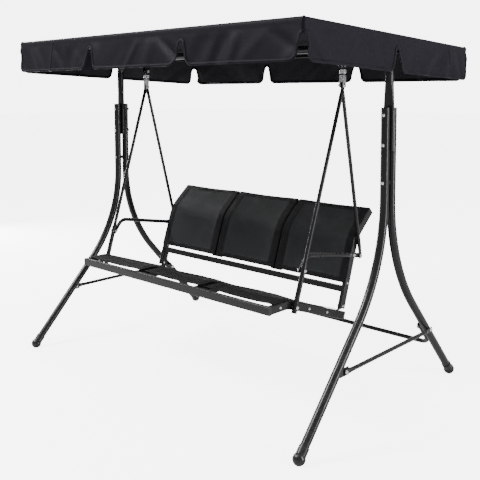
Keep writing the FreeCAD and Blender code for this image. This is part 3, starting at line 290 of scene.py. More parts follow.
RAIL_TALL, RAIL_THICK, LOWER_RAIL_TALL = 0.034, 0.018, 0.028
BACK_SLOPE = 0.34
back_up = Vector((0, BACK_SLOPE, 1)).normalized()
back_out = Vector((0, 1, -BACK_SLOPE)).normalized()
welds = []
for cross_tube, section in (("back_lower_rail", BOX_TUBE), ("back_top_rail", ROUND_TUBE)):
    low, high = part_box(cross_tube)
    middle = (low + high) / 2
    half_thick = half_tall = (high.z - low.z) / 2
    if section == BOX_TUBE:
        half_thick, half_tall = RAIL_THICK / 2, LOWER_RAIL_TALL / 2
    for end_x in (low.x + BEAD / 2, high.x - BEAD / 2):
        end = Vector((end_x, middle.y, middle.z))
        welds.append(bead_round(end, back_out * half_thick, back_up * half_tall, section))
seat_welds = gathered("seat_weld_beads", welds, tube_coat)
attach(seat_welds, "seat")

plug_plastic = hard_coat("moulded plug plastic", (0.012, 0.012, 0.013), (0.05, 0.05, 0.05), 0.42,
                         peel=0.0009, scuffs=0.3)
PLUG_PROUD = 0.0022
PLUG_ROUND = 0.004


def plug(centre, out, up, wide, tall):
    """A rounded, slightly domed plug over the end of a flat-sided tube."""
    across = out.cross(up).normalized()
    rings = []
    for inset, proud in ((0.0, 0.0), (0.0, 0.55), (0.0008, 0.85), (0.0022, 1.0), (0.006, 1.1)):
        ring = []
        half_w, half_t = wide / 2 - inset, tall / 2 - inset
        corner = max(PLUG_ROUND - inset, 0.0004)
        for quarter in range(4):
            sign_w = (1, -1, -1, 1)[quarter]
            sign_t = (1, 1, -1, -1)[quarter]
            for step in range(5):
                angle = math.pi / 2 * (quarter + step / 4)
                w = sign_w * (half_w - corner) + corner * math.cos(angle)
                t = sign_t * (half_t - corner) + corner * math.sin(angle)
                ring.append(centre + across * w + up * t + out * PLUG_PROUD * proud)
        rings.append(ring)
    count = len(rings[0])
    points = [point for ring in rings for point in ring]
    faces = []
    for k in range(len(rings) - 1):
        for j in range(count):
            n = (j + 1) % count
            faces.append((k * count + j, k * count + n, (k + 1) * count + n, (k + 1) * count + j))
    faces.append(tuple(range((len(rings) - 1) * count, len(rings) * count)))
    faces.append(tuple(range(count))[::-1])
    return points, faces


SEAT_SLOPE = 0.346
BACK_BREAK, BACK_BREAK_Y, BACK_TOP = 0.652, 0.1583, (0.272, 0.750)
BACK_TOP_SLOPE = (BACK_TOP[1] - BACK_BREAK) / (BACK_TOP[0] - BACK_BREAK_Y)
plugs = []
front_low, front_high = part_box("seat_front_rail")
front_mid = (front_low + front_high) / 2
for sign in (-1, 1):
    end = Vector((sign * front_high.x, front_mid.y, front_mid.z))
    plugs.append(plug(end, Vector((sign, 0, 0)), Vector((0, 0, 1)), RAIL_THICK, RAIL_TALL))
for side in ("left", "right"):
    low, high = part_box("seat_side_rail_" + side)
    out = Vector((0, 1, -SEAT_SLOPE)).normalized()
    up = Vector((0, SEAT_SLOPE, 1)).normalized()
    reach = high.y - up.y * RAIL_TALL / 2
    end = Vector(((low.x + high.x) / 2, reach, low.z + up.z * RAIL_TALL / 2))
    plugs.append(plug(end, out, up, RAIL_THICK, RAIL_TALL))
    low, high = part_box("back_side_tube_" + side)
    out = Vector((0, 1, BACK_TOP_SLOPE)).normalized()
    up = Vector((0, -BACK_TOP_SLOPE, 1)).normalized()
    end = Vector(((low.x + high.x) / 2, high.y, high.z)) + Vector((0, up.y, -up.z)) * RAIL_TALL / 2
    plugs.append(plug(end, out, up, RAIL_THICK, RAIL_TALL))
tube_plugs = gathered("tube_end_plugs", plugs, plug_plastic)
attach(tube_plugs, "seat")


# ------------------------------------------------------------ feet, canopy corners and knobs
# Moulded black plastic: ball feet pushed on the leg ends, the elbows that join the canopy
# rails, and the two lobed knobs that clamp the canopy's tilt.

foot_plastic = hard_coat("glossy foot plastic", (0.0045, 0.0045, 0.005), (0.06, 0.06, 0.06), 0.27,
                         peel=0.0007, depth=0.00006, scuffs=0.5, dust=0.35)
knob_plastic = hard_coat("grained knob plastic", (0.014, 0.014, 0.015), (0.05, 0.05, 0.05), 0.5,
                         peel=0.0008, depth=0.0002, scuffs=0.2)
for name, material in (("foot_caps", foot_plastic), ("canopy_corners", knob_plastic),
                       ("tilt_knob_left", knob_plastic), ("tilt_knob_right", knob_plastic)):
    clad(name, material)


# ------------------------------------------------------------ bolts and links
# Bright zinc-plated steel: dome-head bolts with hex nuts, and the spring links. The plating is
# a little cloudy, with a faint yellow tint from its passivation.

def zinc_plate(name, gloss, tint):
    material, tree, shader, where = blank_material(name)
    cloud = speckle(tree, where, 160.0, 5.0, 0.6)
    grain = speckle(tree, where, 2400.0, 2.0)
    base = two_tone(tree, between(tree, cloud, 0.35, 0.7), shade((0.60, 0.61, 0.63)), shade(tint))
    tree.links.new(base, shader.inputs["Base Color"])
    shader.inputs["Metallic"].default_value = 1.0
    rough = sums(tree, "MULTIPLY_ADD", cloud, 0.3, gloss - 0.15)
    tree.links.new(rough, shader.inputs["Roughness"])
    bump = put(tree, "Bump", {"Height": grain, "Distance": 0.00003, "Strength": 0.5})
    tree.links.new(bump.outputs[0], shader.inputs["Normal"])
    return material


zinc = zinc_plate("zinc plate", 0.30, (0.74, 0.73, 0.68))
for name in ("frame_bolts", "bracket_bolts", "seat_bolts", "hanger_links"):
    clad(name, zinc)


# ------------------------------------------------------------ springs
# Each seat end hangs on a close-wound extension spring of 4 mm zinc-plated wire. Its top eye
# turns on the bracket's bolt, its lower eye holds the link, and it opens as the seat is loaded.

SPRING_WIRE = 0.004
SPRING_OUTER = 0.030
COIL_TOP, COIL_LOW = 1.3635, 1.346
EYE_TOP, EYE_LOW = joints["seat_swing"]["pos_m"][2], 1.331
TURN_STEPS = 28
spring_zinc = zinc_plate("spring wire zinc", 0.24, (0.72, 0.73, 0.76))


def spring_line(x):
    """The wire's centre line: top eye, coil, lower eye, about a vertical axis at x."""
    coil = (SPRING_OUTER - SPRING_WIRE) / 2
    eye = SPRING_WIRE * 1.55
    rise = COIL_TOP - COIL_LOW - SPRING_WIRE
    turns = rise / (SPRING_WIRE * 1.03)
    steps = int(turns * TURN_STEPS)
    line = []
    for k in range(19):
        angle = math.radians(-60 + 300 * k / 18)
        line.append(Vector((x, eye * math.cos(angle), EYE_TOP + eye * math.sin(angle))))
    start = Vector((x, -coil, COIL_TOP - SPRING_WIRE / 2))
    line.append(Vector((x, -eye * 0.9, (EYE_TOP - eye + start.z) / 2)))
    for k in range(steps + 1):
        angle = -math.pi / 2 + 2 * math.pi * k / TURN_STEPS
        z = start.z - rise * k / steps
        line.append(Vector((x + coil * math.cos(angle), coil * math.sin(angle), z)))
    last = line[-1]
    line.append(Vector((x + (last.x - x) * 0.45, last.y * 0.45, (EYE_LOW + eye + last.z) / 2)))
    for k in range(17):
        angle = math.radians(80 - 310 * k / 16)
        line.append(Vector((x, eye * math.cos(angle), EYE_LOW + eye * math.sin(angle))))
    return line


for side, sign in (("left", -1), ("right", 1)):
    low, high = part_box("spring_" + side)
    hook_x = (low.x + high.x) / 2
    points, faces = sweep(spring_line(hook_x), SPRING_WIRE / 2, 12)
    spring = mesh_piece("coil_spring_" + side, points, faces, spring_zinc)
    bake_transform(spring)
    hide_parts("spring_" + side)


# ------------------------------------------------------------ seat and back panels
# Six panels of black PVC-coated polyester mesh, pulled tight over the seat and back tubes.
# Each long edge is a doubled, welded and stitched hem, turned down over the middle supports.

def basket_weave():
    """A plain weave of round threads, one pitch apart each way."""
    wants = {"Across": 0.0, "Along": 0.0, "Pitch": 0.0013}
    group, ins, outs = effect("Basket Weave", wants, ["Height", "Over"])
    tree = group
    u = sums(tree, "DIVIDE", ins["Across"], ins["Pitch"])
    v = sums(tree, "DIVIDE", ins["Along"], ins["Pitch"])
    ridge_u = sums(tree, "ABSOLUTE", sums(tree, "SINE", sums(tree, "MULTIPLY", u, math.pi)))
    ridge_v = sums(tree, "ABSOLUTE", sums(tree, "SINE", sums(tree, "MULTIPLY", v, math.pi)))
    cells = sums(tree, "ADD", sums(tree, "FLOOR", u), sums(tree, "FLOOR", v))
    over = sums(tree, "PINGPONG", cells, 1.0)
    warp = sums(tree, "MULTIPLY", ridge_u, sums(tree, "MULTIPLY_ADD", ridge_v, 0.4, 0.6))
    weft = sums(tree, "MULTIPLY", ridge_v, sums(tree, "MULTIPLY_ADD", ridge_u, 0.4, 0.6))
    mixed = put(tree, "Mix", {0: over, 2: warp, 3: weft}, data_type="FLOAT").outputs[0]
    group.links.new(mixed, outs["Height"])
    group.links.new(over, outs["Over"])
    return group


def stitch_row():
    """A row of stitches: dashes along a line, by the distance from that line."""
    wants = {"Distance": 0.0, "Along": 0.0, "Pitch": 0.004, "Thread": 0.0007}
    group, ins, outs = effect("Stitch Row", wants, ["Mask"])
    off = sums(group, "DIVIDE", sums(group, "ABSOLUTE", ins["Distance"]), ins["Thread"])
    near = sums(group, "SUBTRACT", 1.0, between(group, off, 0.6, 1.1))
    place = sums(group, "FRACT", sums(group, "DIVIDE", ins["Along"], ins["Pitch"]))
    from_middle = sums(group, "ABSOLUTE", sums(group, "SUBTRACT", place, 0.5))
    dash = sums(group, "SUBTRACT", 1.0, between(group, from_middle, 0.30, 0.42))
    group.links.new(sums(group, "MULTIPLY", near, dash), outs["Mask"])
    return group


WEAVE, STITCH = basket_weave(), stitch_row()
HEM_WIDE = 0.038
STITCH_IN = 0.034


def cut_coordinates(tree):
    """Distances over the flat cut, in metres, from the piece's own map."""
    parts = put(tree, "SeparateXYZ", {0: put(tree, "UVMap", uv_map="Cut").outputs[0]}).outputs
    return parts["X"], parts["Y"]


def mesh_fabric(name, open_colour, hem_colour):
    """Coated mesh, darker where it is doubled in a hem."""
    material, tree, shader, where = blank_material(name)
    across, along = cut_coordinates(tree)
    weave = use(tree, WEAVE, {"Across": across, "Along": along, "Pitch": 0.0014})
    margin = put(tree, "Attribute", attribute_name="margin").outputs["Fac"]
    doubled = sums(tree, "SUBTRACT", 1.0, between(tree, margin, HEM_WIDE - 0.0008, HEM_WIDE + 0.0008))
    sewn = use(tree, STITCH, {"Distance": sums(tree, "SUBTRACT", margin, STITCH_IN), "Along": along})
    patch = speckle(tree, where, 5.0, 5.0, 0.6)
    # Where the weave is low, between the threads, the colour is painted down to 0.45 of itself: painted
    # shade in the hollows of the weave.
    fine = between(tree, weave["Height"], 0.05, 0.55)
    threads = two_tone(tree, fine, shade(open_colour, 0.45), shade(open_colour))
    worn = two_tone(tree, between(tree, patch, 0.45, 0.8), threads, shade(open_colour, 1.35))
    base = two_tone(tree, doubled, worn, shade(hem_colour))
    base = two_tone(tree, sewn["Mask"], base, shade((0.026, 0.027, 0.028)))
    lying = use(tree, DUST, {"Vector": where, "Amount": 0.04})["Mask"]
    base = two_tone(tree, lying, base, DUST_COLOUR)
    tree.links.new(base, shader.inputs["Base Color"])
    rough = sums(tree, "MULTIPLY_ADD", patch, 0.15, 0.52)
    tree.links.new(rough, shader.inputs["Roughness"])
    shader.inputs["Specular IOR Level"].default_value = 0.06
    shader.inputs["Sheen Weight"].default_value = 0.02
    shader.inputs["Sheen Roughness"].default_value = 0.4
    height = sums(tree, "MULTIPLY_ADD", sewn["Mask"], 1.6, weave["Height"])
    bump = put(tree, "Bump", {"Height": height, "Distance": 0.0004, "Strength": 0.7})
    tree.links.new(bump.outputs[0], shader.inputs["Normal"])
    return material


# Seat and back are the same black mesh. The back's colours are painted several times lighter than the
# seat's: painted light on the back and painted shade on the seat.
back_mesh_painted_lit = mesh_fabric("back panel mesh painted lit", (0.0300, 0.0322, 0.0338), (0.0090, 0.0097, 0.0102))
seat_mesh_painted_shade = mesh_fabric("seat panel mesh painted shade", (0.0045, 0.0049, 0.0053), (0.0030, 0.0033, 0.0035))


def bent_profile(first, corner, last, radius, out):
    """A place along two straight runs joined by an arc, all lifted off their tubes.

    Returns the whole length and a function that gives the point and the outward way there."""
    before, after = (corner - first).normalized(), (last - corner).normalized()
    half = before.angle(after) / 2
    lift_1, lift_2 = Vector((0, -before.z, before.y)), Vector((0, -after.z, after.y))
    first, last = first + lift_1 * out, last + lift_2 * out
    corner = corner + (lift_1 + lift_2).normalized() * out / math.cos(half)
    radius = radius + out
    cut = radius * math.tan(half)
    run_1, arc, run_2 = (corner - first).length - cut, 2 * half * radius, (last - corner).length - cut

    def at(distance):
        if distance <= run_1:
            return first + before * distance, lift_1
        if distance >= run_1 + arc:
            return last - after * (run_1 + arc + run_2 - distance), lift_2
        angle = (distance - run_1) / radius
        lift = lift_1 * math.cos(angle) + before * math.sin(angle)
        return corner - before * cut + (lift - lift_1) * radius, lift

    return run_1 + arc + run_2, at


EDGE_ROUND = 0.003
END_HEM = 0.022
HEM_RISE = 0.0007
PANEL_THICK = 0.0012
ROW_STEP = 0.011
OPEN_STEPS = 26
CREASE_DEEP, CREASE_HALF = 0.0016, 0.009


def panel_columns(x_low, x_high, turned):
    """Places across a panel: (x, how far down its turned edge, distance in from that edge)."""
    wide = x_high - x_low
    edge = [0.0, 0.004, 0.012, 0.024, HEM_WIDE - 0.0015, HEM_WIDE, HEM_WIDE + 0.004]
    open_wide = wide - 2 * edge[-1]
    middle = [edge[-1] + open_wide * k / OPEN_STEPS for k in range(1, OPEN_STEPS)]
    xs = edge + middle + [wide - x for x in reversed(edge)]
    columns = [(x_low + x, 0.0, min(x, wide - x)) for x in xs]
    for k, sign, x_edge in ((0, -1, x_low), (1, 1, x_high)):
        if not turned[k]:
            continue
        fold = []
        for step in (1, 2, 3):
            angle = math.radians(30 * step)
            out, drop = EDGE_ROUND * math.sin(angle), EDGE_ROUND * (1 - math.cos(angle))
            fold.append((x_edge + sign * out, drop, -0.001 * step))
        for share in (0.4, 1.0):
            drop = EDGE_ROUND + (turned[k] - EDGE_ROUND) * share
            fold.append((x_edge + sign * EDGE_ROUND, drop, -0.004 - 0.01 * share))
        columns = fold[::-1] + columns if k == 0 else columns + fold
    return columns


def panel_rows(length):
    """Places along a panel, closer together in its end hems."""
    end = [0.0, 0.003, END_HEM - 0.001, END_HEM + 0.001]
    count = int(length / ROW_STEP)
    middle = [END_HEM + (length - 2 * END_HEM) * k / count for k in range(1, count)]
    return end + middle + [length - y for y in reversed(end)]


def grid_faces(wide, deep):
    """The faces of a grid of points, row by row."""
    return [(j * wide + i, j * wide + i + 1, (j + 1) * wide + i + 1, (j + 1) * wide + i)
            for j in range(deep - 1) for i in range(wide - 1)]


def with_map(piece, uvs):
    """Lays out a sheet's flat cut as its map, in metres."""
    layer = piece.data.uv_layers.new(name="Cut")
    for loop in piece.data.loops:
        layer.data[loop.index].uv = uvs[loop.vertex_index]
    return piece


def thicken(piece, thick, offset=-1.0):
    """Gives a sheet its thickness. With offset 0 the mesh lies in the middle of it."""
    shell = piece.modifiers.new("thickness", "SOLIDIFY")
    shell.thickness = thick
    shell.offset = offset
    return shell


def panel(name, x_low, x_high, turned, profile, sag, material, crease=None):
    """One panel. turned says how far each side edge is turned down: (low side, high side)."""
    length, at = profile
    columns, rows = panel_columns(x_low, x_high, turned), panel_rows(length)
    wide = x_high - x_low
    points, uvs, margins = [], [], []
    for y in rows:
        spot, lift = at(y)
        share = y / length
        from_end = min(y, length - y)
        for x, drop, margin in columns:
            free = min(max((x - x_low - HEM_WIDE) / (wide - 2 * HEM_WIDE), 0), 1)
            bow = math.sin(math.pi * free)
            high = -sag * bow ** 0.8 * (0.55 + 0.45 * math.sin(math.pi * share)) - drop
            high += 0.0009 * noise.noise(Vector((x * 9, share * 7, 3.1))) * bow
            if margin < HEM_WIDE - 0.001 or from_end < END_HEM:
                high += HEM_RISE
            if crease:
                high += CREASE_DEEP * max(0.0, 1 - abs(y - crease) / CREASE_HALF) * bow ** 0.3
            place = spot + lift * high
            points.append(Vector((x, place.y, place.z)))
            uvs.append((x - x_low, y))
            margins.append(max(min(margin, HEM_WIDE - END_HEM + from_end), 0.0))
    piece = mesh_piece(name, points, grid_faces(len(columns), len(rows)), material)
    with_map(piece, uvs)
    values = piece.data.attributes.new("margin", "FLOAT", "POINT")
    values.data.foreach_set("value", margins)
    thicken(piece, PANEL_THICK, 0.0)
    return piece, (wide + turned[0] + turned[1], length)


TURN_DOWN = 0.014
SLING_GAP = 0.0009
SLING_LIFT = RAIL_TALL / 2 + PANEL_THICK / 2 + SLING_GAP
low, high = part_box("seat_sling_middle")
seat_height = front_mid.z
SEAT_BREAK, SEAT_BEND = -0.300, 0.090
SEAT_REAR = 0.031
seat_profile = bent_profile(
    Vector((0, low.y, seat_height)), Vector((0, SEAT_BREAK, seat_height)),
    Vector((0, SEAT_REAR, seat_height - (SEAT_REAR - SEAT_BREAK) * SEAT_SLOPE)), SEAT_BEND, SLING_LIFT)
BACK_BEND = 0.150
BACK_SLOT = 0.009
lower_rail = sum(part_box("back_lower_rail"), Vector()) / 2
back_low_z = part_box("back_lower_rail")[1].z + BACK_SLOT
back_low_y = lower_rail.y + (back_low_z - lower_rail.z) * BACK_SLOPE
back_corner = Vector((0, lower_rail.y + (BACK_BREAK - lower_rail.z) * BACK_SLOPE, BACK_BREAK))
back_profile = bent_profile(Vector((0, back_low_y, back_low_z)), back_corner, Vector((0, *BACK_TOP)),
                            BACK_BEND, SLING_LIFT)
PANELS = (("seat", seat_profile, 0.009, seat_mesh_painted_shade, "seat_mid_supports"),
          ("back", back_profile, 0.008, back_mesh_painted_lit, "back_mid_supports"))
CREASE_AT = 0.47
for part, profile, sag, material, supports in PANELS:
    for place in ("left", "middle", "right"):
        node = part + "_sling_" + place
        low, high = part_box(node)
        turned = (0.0 if place == "left" else TURN_DOWN, 0.0 if place == "right" else TURN_DOWN)
        crease = CREASE_AT * profile[0] if node == "back_sling_left" else None
        name = part + "_panel_" + place
        piece, flat = panel(name, low.x, high.x, turned, profile, sag, material, crease)
        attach(piece, "seat")
        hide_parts(node)


# ------------------------------------------------------------ canopy cover
# One sewn cover of black 600-denier polyester with a faint violet sheen. The top is drawn
# over the rails, and its border hangs as flaps, parted by tapered slits with rounded corners.

tilt_joint = joints["canopy_tilt"]
top_low, top_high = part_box("canopy_top")
STAND_IN = 0.0025
roof_tilt = math.atan2(top_high.z - top_low.z - STAND_IN, top_high.y - top_low.y)
to_roof = Matrix.Translation(tilt_joint["pos_m"]) @ Matrix.Rotation(-roof_tilt, 4, "X")
from_roof = to_roof.inverted()
flat_top = [from_roof @ vertex.co for vertex in nodes["canopy_top"].data.vertices]
valance_low = min((from_roof @ vertex.co).z for vertex in nodes["canopy_valance_front"].data.vertices)
HALF = max(point.x for point in flat_top)
FRONT, REAR = min(point.y for point in flat_top), max(point.y for point in flat_top)
TOP = max(point.z for point in flat_top)
DROP = TOP - valance_low
CORNER = 0.013
EDGE = 0.011
SLIT_TOP = 0.054
SLIT_HALF, SLIT_FLARE, FLAP_ROUND = 0.0105, 0.026, 0.030
CORNER_FLARE = 0.019
FASCIA = 0.032
SLIT_X = HALF / 3
ARM_X = 0.700


def slit_offsets(flare):
    """Distances from a slit's middle that its outline needs."""
    arch = [SLIT_HALF * math.sin(math.radians(a)) for a in (0, 30, 55, 75, 90)]
    side = [SLIT_HALF + (flare - SLIT_HALF) * k / 5 for k in range(1, 6)]
    foot = [flare + FLAP_ROUND * (1 - math.cos(math.radians(a))) for a in (20, 35, 50, 65, 80, 90)]
    return arch + side + foot


def flap_depth(offset, flare):
    """How far down the cloth reaches at a distance from a slit's middle."""
    offset = abs(offset)
    if offset <= SLIT_HALF:
        return SLIT_TOP + SLIT_HALF - math.sqrt(max(SLIT_HALF ** 2 - offset ** 2, 0))
    if offset <= flare:
        share = (offset - SLIT_HALF) / (flare - SLIT_HALF)
        start = SLIT_TOP + SLIT_HALF
        return start + (DROP - FLAP_ROUND - start) * share
    inside = flare + FLAP_ROUND - offset
    if inside <= 0:
        return DROP
    return DROP - FLAP_ROUND + math.sqrt(FLAP_ROUND ** 2 - inside ** 2)


ARC = CORNER * math.pi / 2


def grid_lines(low, high, slits, step):
    """Places along one side: an even spread, with closer ones round each slit and end."""
    special = [low, high]
    for middle in slits:
        offsets = slit_offsets(SLIT_FLARE)
        special += [middle + e for e in offsets] + [middle - e for e in offsets[1:]]
    for e in slit_offsets(CORNER_FLARE):
        if e > ARC / 2 + 0.002:
            special += [low + e - ARC / 2, high - e + ARC / 2]
    special = sorted(set(round(x, 6) for x in special))
    lines = []
    for a, b in zip(special, special[1:]):
        parts = max(1, round((b - a) / step))
        lines += [a + (b - a) * k / parts for k in range(parts)]
    return lines + [special[-1]]


x_lines = grid_lines(CORNER - HALF, HALF - CORNER, (-SLIT_X, SLIT_X), 0.011)
y_lines = grid_lines(FRONT + CORNER, REAR - CORNER, ((FRONT + REAR) / 2,), 0.011)


def perimeter():
    """The border's columns in order: (base on the flat top, outward way, place along, flap
    depth, how far round a corner, its point on the top's grid)."""
    columns = []
    arc_steps = 10
    wide, deep = len(x_lines), len(y_lines)
    sides = [[(i, 0) for i in range(wide)], [(wide - 1, j) for j in range(deep)],
             [(i, deep - 1) for i in reversed(range(wide))], [(0, j) for j in reversed(range(deep))]]
    ways = [Vector((0, -1, 0)), Vector((1, 0, 0)), Vector((0, 1, 0)), Vector((-1, 0, 0))]
    along = 0.0
    for k in range(4):
        (i, j), (last_i, last_j) = sides[k][0], sides[k][-1]
        start, stop = Vector((x_lines[i], y_lines[j], 0)), Vector((x_lines[last_i], y_lines[last_j], 0))
        long_way = (stop - start).length
        for i, j in sides[k]:
            x, y = x_lines[i], y_lines[j]
            base = Vector((x, y, 0))
            gone = (base - start).length
            if k % 2 == 0:
                from_slit = abs(abs(x) - SLIT_X)
            else:
                from_slit = abs(y - (FRONT + REAR) / 2)
            from_corner = min(gone, long_way - gone) + ARC / 2
            depth = min(flap_depth(from_slit, SLIT_FLARE), flap_depth(from_corner, CORNER_FLARE))
            columns.append((base, ways[k], along + gone, depth, 0.0, j * wide + i))
        along += long_way
        turn = ways[(k + 1) % 4]
        for step in range(1, arc_steps):
            angle = math.pi / 2 * step / arc_steps
            way = ways[k] * math.cos(angle) + turn * math.sin(angle)
            gone = ARC * step / arc_steps
            depth = flap_depth(gone - ARC / 2, CORNER_FLARE)
            columns.append((stop, way, along + gone, depth, math.sin(2 * angle), last_j * wide + last_i))
        along += ARC
    return columns, along


border, AROUND = perimeter()
FOLDS = 84
FOLD_STEP = AROUND / FOLDS
FOLD_MOST = 0.013
LEAN = 0.006
FASCIA_BOW = 0.0012
CORNER_RAISE = 0.003
TOP_SAG = 0.013


def fold(along, down):
    """How far the hanging cloth stands off its flat plane: each flap leans outward at its
    lower edge, and slanting folds cross it, each fading out toward the top."""
    share = max(0.0, (down - FASCIA) / (DROP - FASCIA))
    total = 0.0
    nearest = round(along / FOLD_STEP)
    for k in range(nearest - 4, nearest + 5):
        chance = noise.cell_vector(Vector((k % FOLDS + 0.5, 0.5, 0.5)))
        slant = 0.34 * (chance.x - 0.5)
        middle = (k + 0.8 * (chance.y - 0.5)) * FOLD_STEP + slant * (share - 0.4)
        wide = 0.015 + 0.020 * chance.y
        tall = 0.045 * (chance.z - 0.5)
        total += tall * math.exp(-((along - middle) / wide) ** 2)
    standing = FOLD_MOST * math.tanh(total / FOLD_MOST) * share ** 0.7 * (1.2 - 0.7 * share)
    return LEAN * share + standing - FASCIA_BOW * math.sin(math.pi * min(down / FASCIA, 1))


def on_border(column, down, off=0.0):
    """A place on the border, by its depth below the top, in the row frame."""
    base, way, along, depth, cornering, top_point = column
    raised = CORNER_RAISE * cornering
    if down < EDGE:
        angle = math.acos(1 - down / EDGE)
        out = CORNER - EDGE + (EDGE + off) * math.sin(angle)
        high = TOP - EDGE + (EDGE + off) * math.cos(angle) + raised
    else:
        out = CORNER + fold(along, down) + off
        high = TOP - down + raised * max(0.0, 1 - down / FASCIA)
    return to_roof @ Vector((base.x + way.x * out, base.y + way.y * out, high))


def top_sag(x, y):
    """The top hangs a little between the rails and the cross arms."""
    side = HALF - CORNER / 2
    if abs(x) < ARM_X:
        bay = 1 - (x / ARM_X) ** 2
    else:
        bay = 0.9 * (abs(x) - ARM_X) * (side - abs(x)) / ((side - ARM_X) / 2) ** 2 * 0.2
    share = (y - FRONT) / (REAR - FRONT)
    wave = 1 + 0.25 * noise.noise(Vector((x * 3, y * 3, 0.4)))
    return TOP_SAG * max(bay, 0.0) ** 0.8 * math.sin(math.pi * share) ** 0.8 * wave


def canopy_mesh():
    """The top's grid, then the rounded edge and the flaps, as one sheet."""
    points, uvs = [], []
    for y in y_lines:
        for x in x_lines:
            points.append(to_roof @ Vector((x, y, TOP - top_sag(x, y))))
            uvs.append((x, y))
    faces = grid_faces(len(x_lines), len(y_lines))
    downs = [0.0] + [EDGE * (1 - math.cos(math.radians(a))) for a in (30, 60, 90)] + [0.021, FASCIA]
    flap_rows = 9
    rings = []
    for column in border:
        base, way, along, depth, cornering, top_point = column
        ring = [top_point]
        all_downs = downs + [FASCIA + (depth - FASCIA) * k / flap_rows for k in range(1, flap_rows + 1)]
        for down in all_downs:
            ring.append(len(points))
            points.append(on_border(column, down))
            spread = CORNER + down
            uvs.append((base.x + way.x * spread, base.y + way.y * spread))
        rings.append(ring)
    for k, ring in enumerate(rings):
        after = rings[(k + 1) % len(rings)]
        for row in range(len(ring) - 1):
            face = (ring[row], ring[row + 1], after[row + 1], after[row])
            if face[0] == face[3]:
                face = face[:3]
            faces.append(face)
    return points, uvs, faces


def woven_cover(name, colour, sheen=0.02, shine=0.09, depth=0.0002, sewn=False):
    """Plain-woven polyester with a soft sheen; sewn adds a row of stitches along a strip."""
    material, tree, shader, where = blank_material(name)
    across, along = cut_coordinates(tree)
    weave = use(tree, WEAVE, {"Across": across, "Along": along, "Pitch": 0.0009})
    patch = speckle(tree, where, 3.5, 5.0, 0.6)
    drawn_out = put(tree, "Mapping", {"Vector": where, "Scale": (900.0, 40.0, 900.0)}).outputs[0]
    slub = speckle(tree, drawn_out, 1.0)
    # Where the weave is low, between the threads, the colour is painted down to 0.6 of itself: painted
    # shade in the hollows of the weave.
    base = two_tone(tree, weave["Height"], shade(colour, 0.6), shade(colour))
    base = two_tone(tree, between(tree, patch, 0.3, 0.8), base, shade(colour, 1.25))
    lying = use(tree, DUST, {"Vector": where, "Amount": 0.04})["Mask"]
    base = two_tone(tree, lying, base, DUST_COLOUR)
    tree.links.new(base, shader.inputs["Base Color"])
    tree.links.new(sums(tree, "MULTIPLY_ADD", slub, 0.12, 0.42), shader.inputs["Roughness"])
    shader.inputs["Specular IOR Level"].default_value = shine
    shader.inputs["Specular Tint"].default_value = shade((0.88, 0.84, 1.0))
    shader.inputs["Sheen Weight"].default_value = sheen
    shader.inputs["Sheen Roughness"].default_value = 0.45
    shader.inputs["Sheen Tint"].default_value = shade((0.80, 0.78, 0.95))
    height = weave["Height"]
    if sewn:
        off = sums(tree, "SUBTRACT", across, 0.002)
        stitches = use(tree, STITCH, {"Distance": off, "Along": along, "Pitch": 0.0045})["Mask"]
        height = sums(tree, "MULTIPLY_ADD", stitches, 2.5, height)
    bump = put(tree, "Bump", {"Height": height, "Distance": depth, "Strength": 0.6})
    tree.links.new(bump.outputs[0], shader.inputs["Normal"])
    return material


cover_cloth = woven_cover("cover polyester", (0.0058, 0.0051, 0.0078))
# The cover's inside face is the same cloth as its outside, painted about four times lighter: painted light
# on the underside of the canopy.
inside_cloth_painted_lit = woven_cover("cover inside painted lighter", (0.026, 0.025, 0.029), sheen=0.0, shine=0.0, depth=0.0001)
points, uvs, faces = canopy_mesh()
canopy = with_map(mesh_piece("canopy_cover", points, faces, cover_cloth), uvs)
canopy.data.materials.append(inside_cloth_painted_lit)
thicken(canopy, 0.0008, 0.0).material_offset = 1
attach(canopy, "canopy")
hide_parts("canopy_top", *("canopy_valance_" + side for side in ("front", "rear", "left", "right")))


# ------------------------------------------------------------ canopy hems and seams
# The flaps' lower edge is turned up in a folded hem with one row of stitches. Felled seams
# run over the top and down the border, where the cover's panels are joined.

tape_cloth = woven_cover("hem and seam tape", (0.0058, 0.0052, 0.0080), sewn=True)
HEM, HEM_STAND, HEM_FOLD = 0.012, 0.0011, -0.0008
HEM_SECTION = ((HEM, HEM_STAND), (0.0, HEM_STAND), (HEM_FOLD, 0.0), (0.0, -HEM_STAND), (HEM, -HEM_STAND))


def hem_strip():
    """A folded strip along the border's lower edge, the same width all the way."""
    path = [Vector((column[2], column[3])) for column in border]
    count = len(path)
    points, uvs, faces = [], [], []
    gone = 0.0
    for k, column in enumerate(border):
        ahead, behind = path[(k + 1) % count].copy(), path[k - 1].copy()
        if ahead.x < path[k].x - AROUND / 2:
            ahead.x += AROUND
        if behind.x > path[k].x + AROUND / 2:
            behind.x -= AROUND
        way = (ahead - behind).normalized()
        inward = Vector((way.y, -way.x))
        if inward.y > 0:
            inward = -inward
        gone += (path[k] - behind).length
        for width, off in HEM_SECTION:
            spot = path[k] + inward * width
            points.append(border_at(spot.x, max(spot.y, FASCIA * 0.8), off))
            uvs.append((HEM - max(width, 0.0), gone))
    rows = len(HEM_SECTION)
    for k in range(count):
        n = (k + 1) % count
        for row in range(rows - 1):
            faces.append((k * rows + row, n * rows + row, n * rows + row + 1, k * rows + row + 1))
    return points, uvs, faces


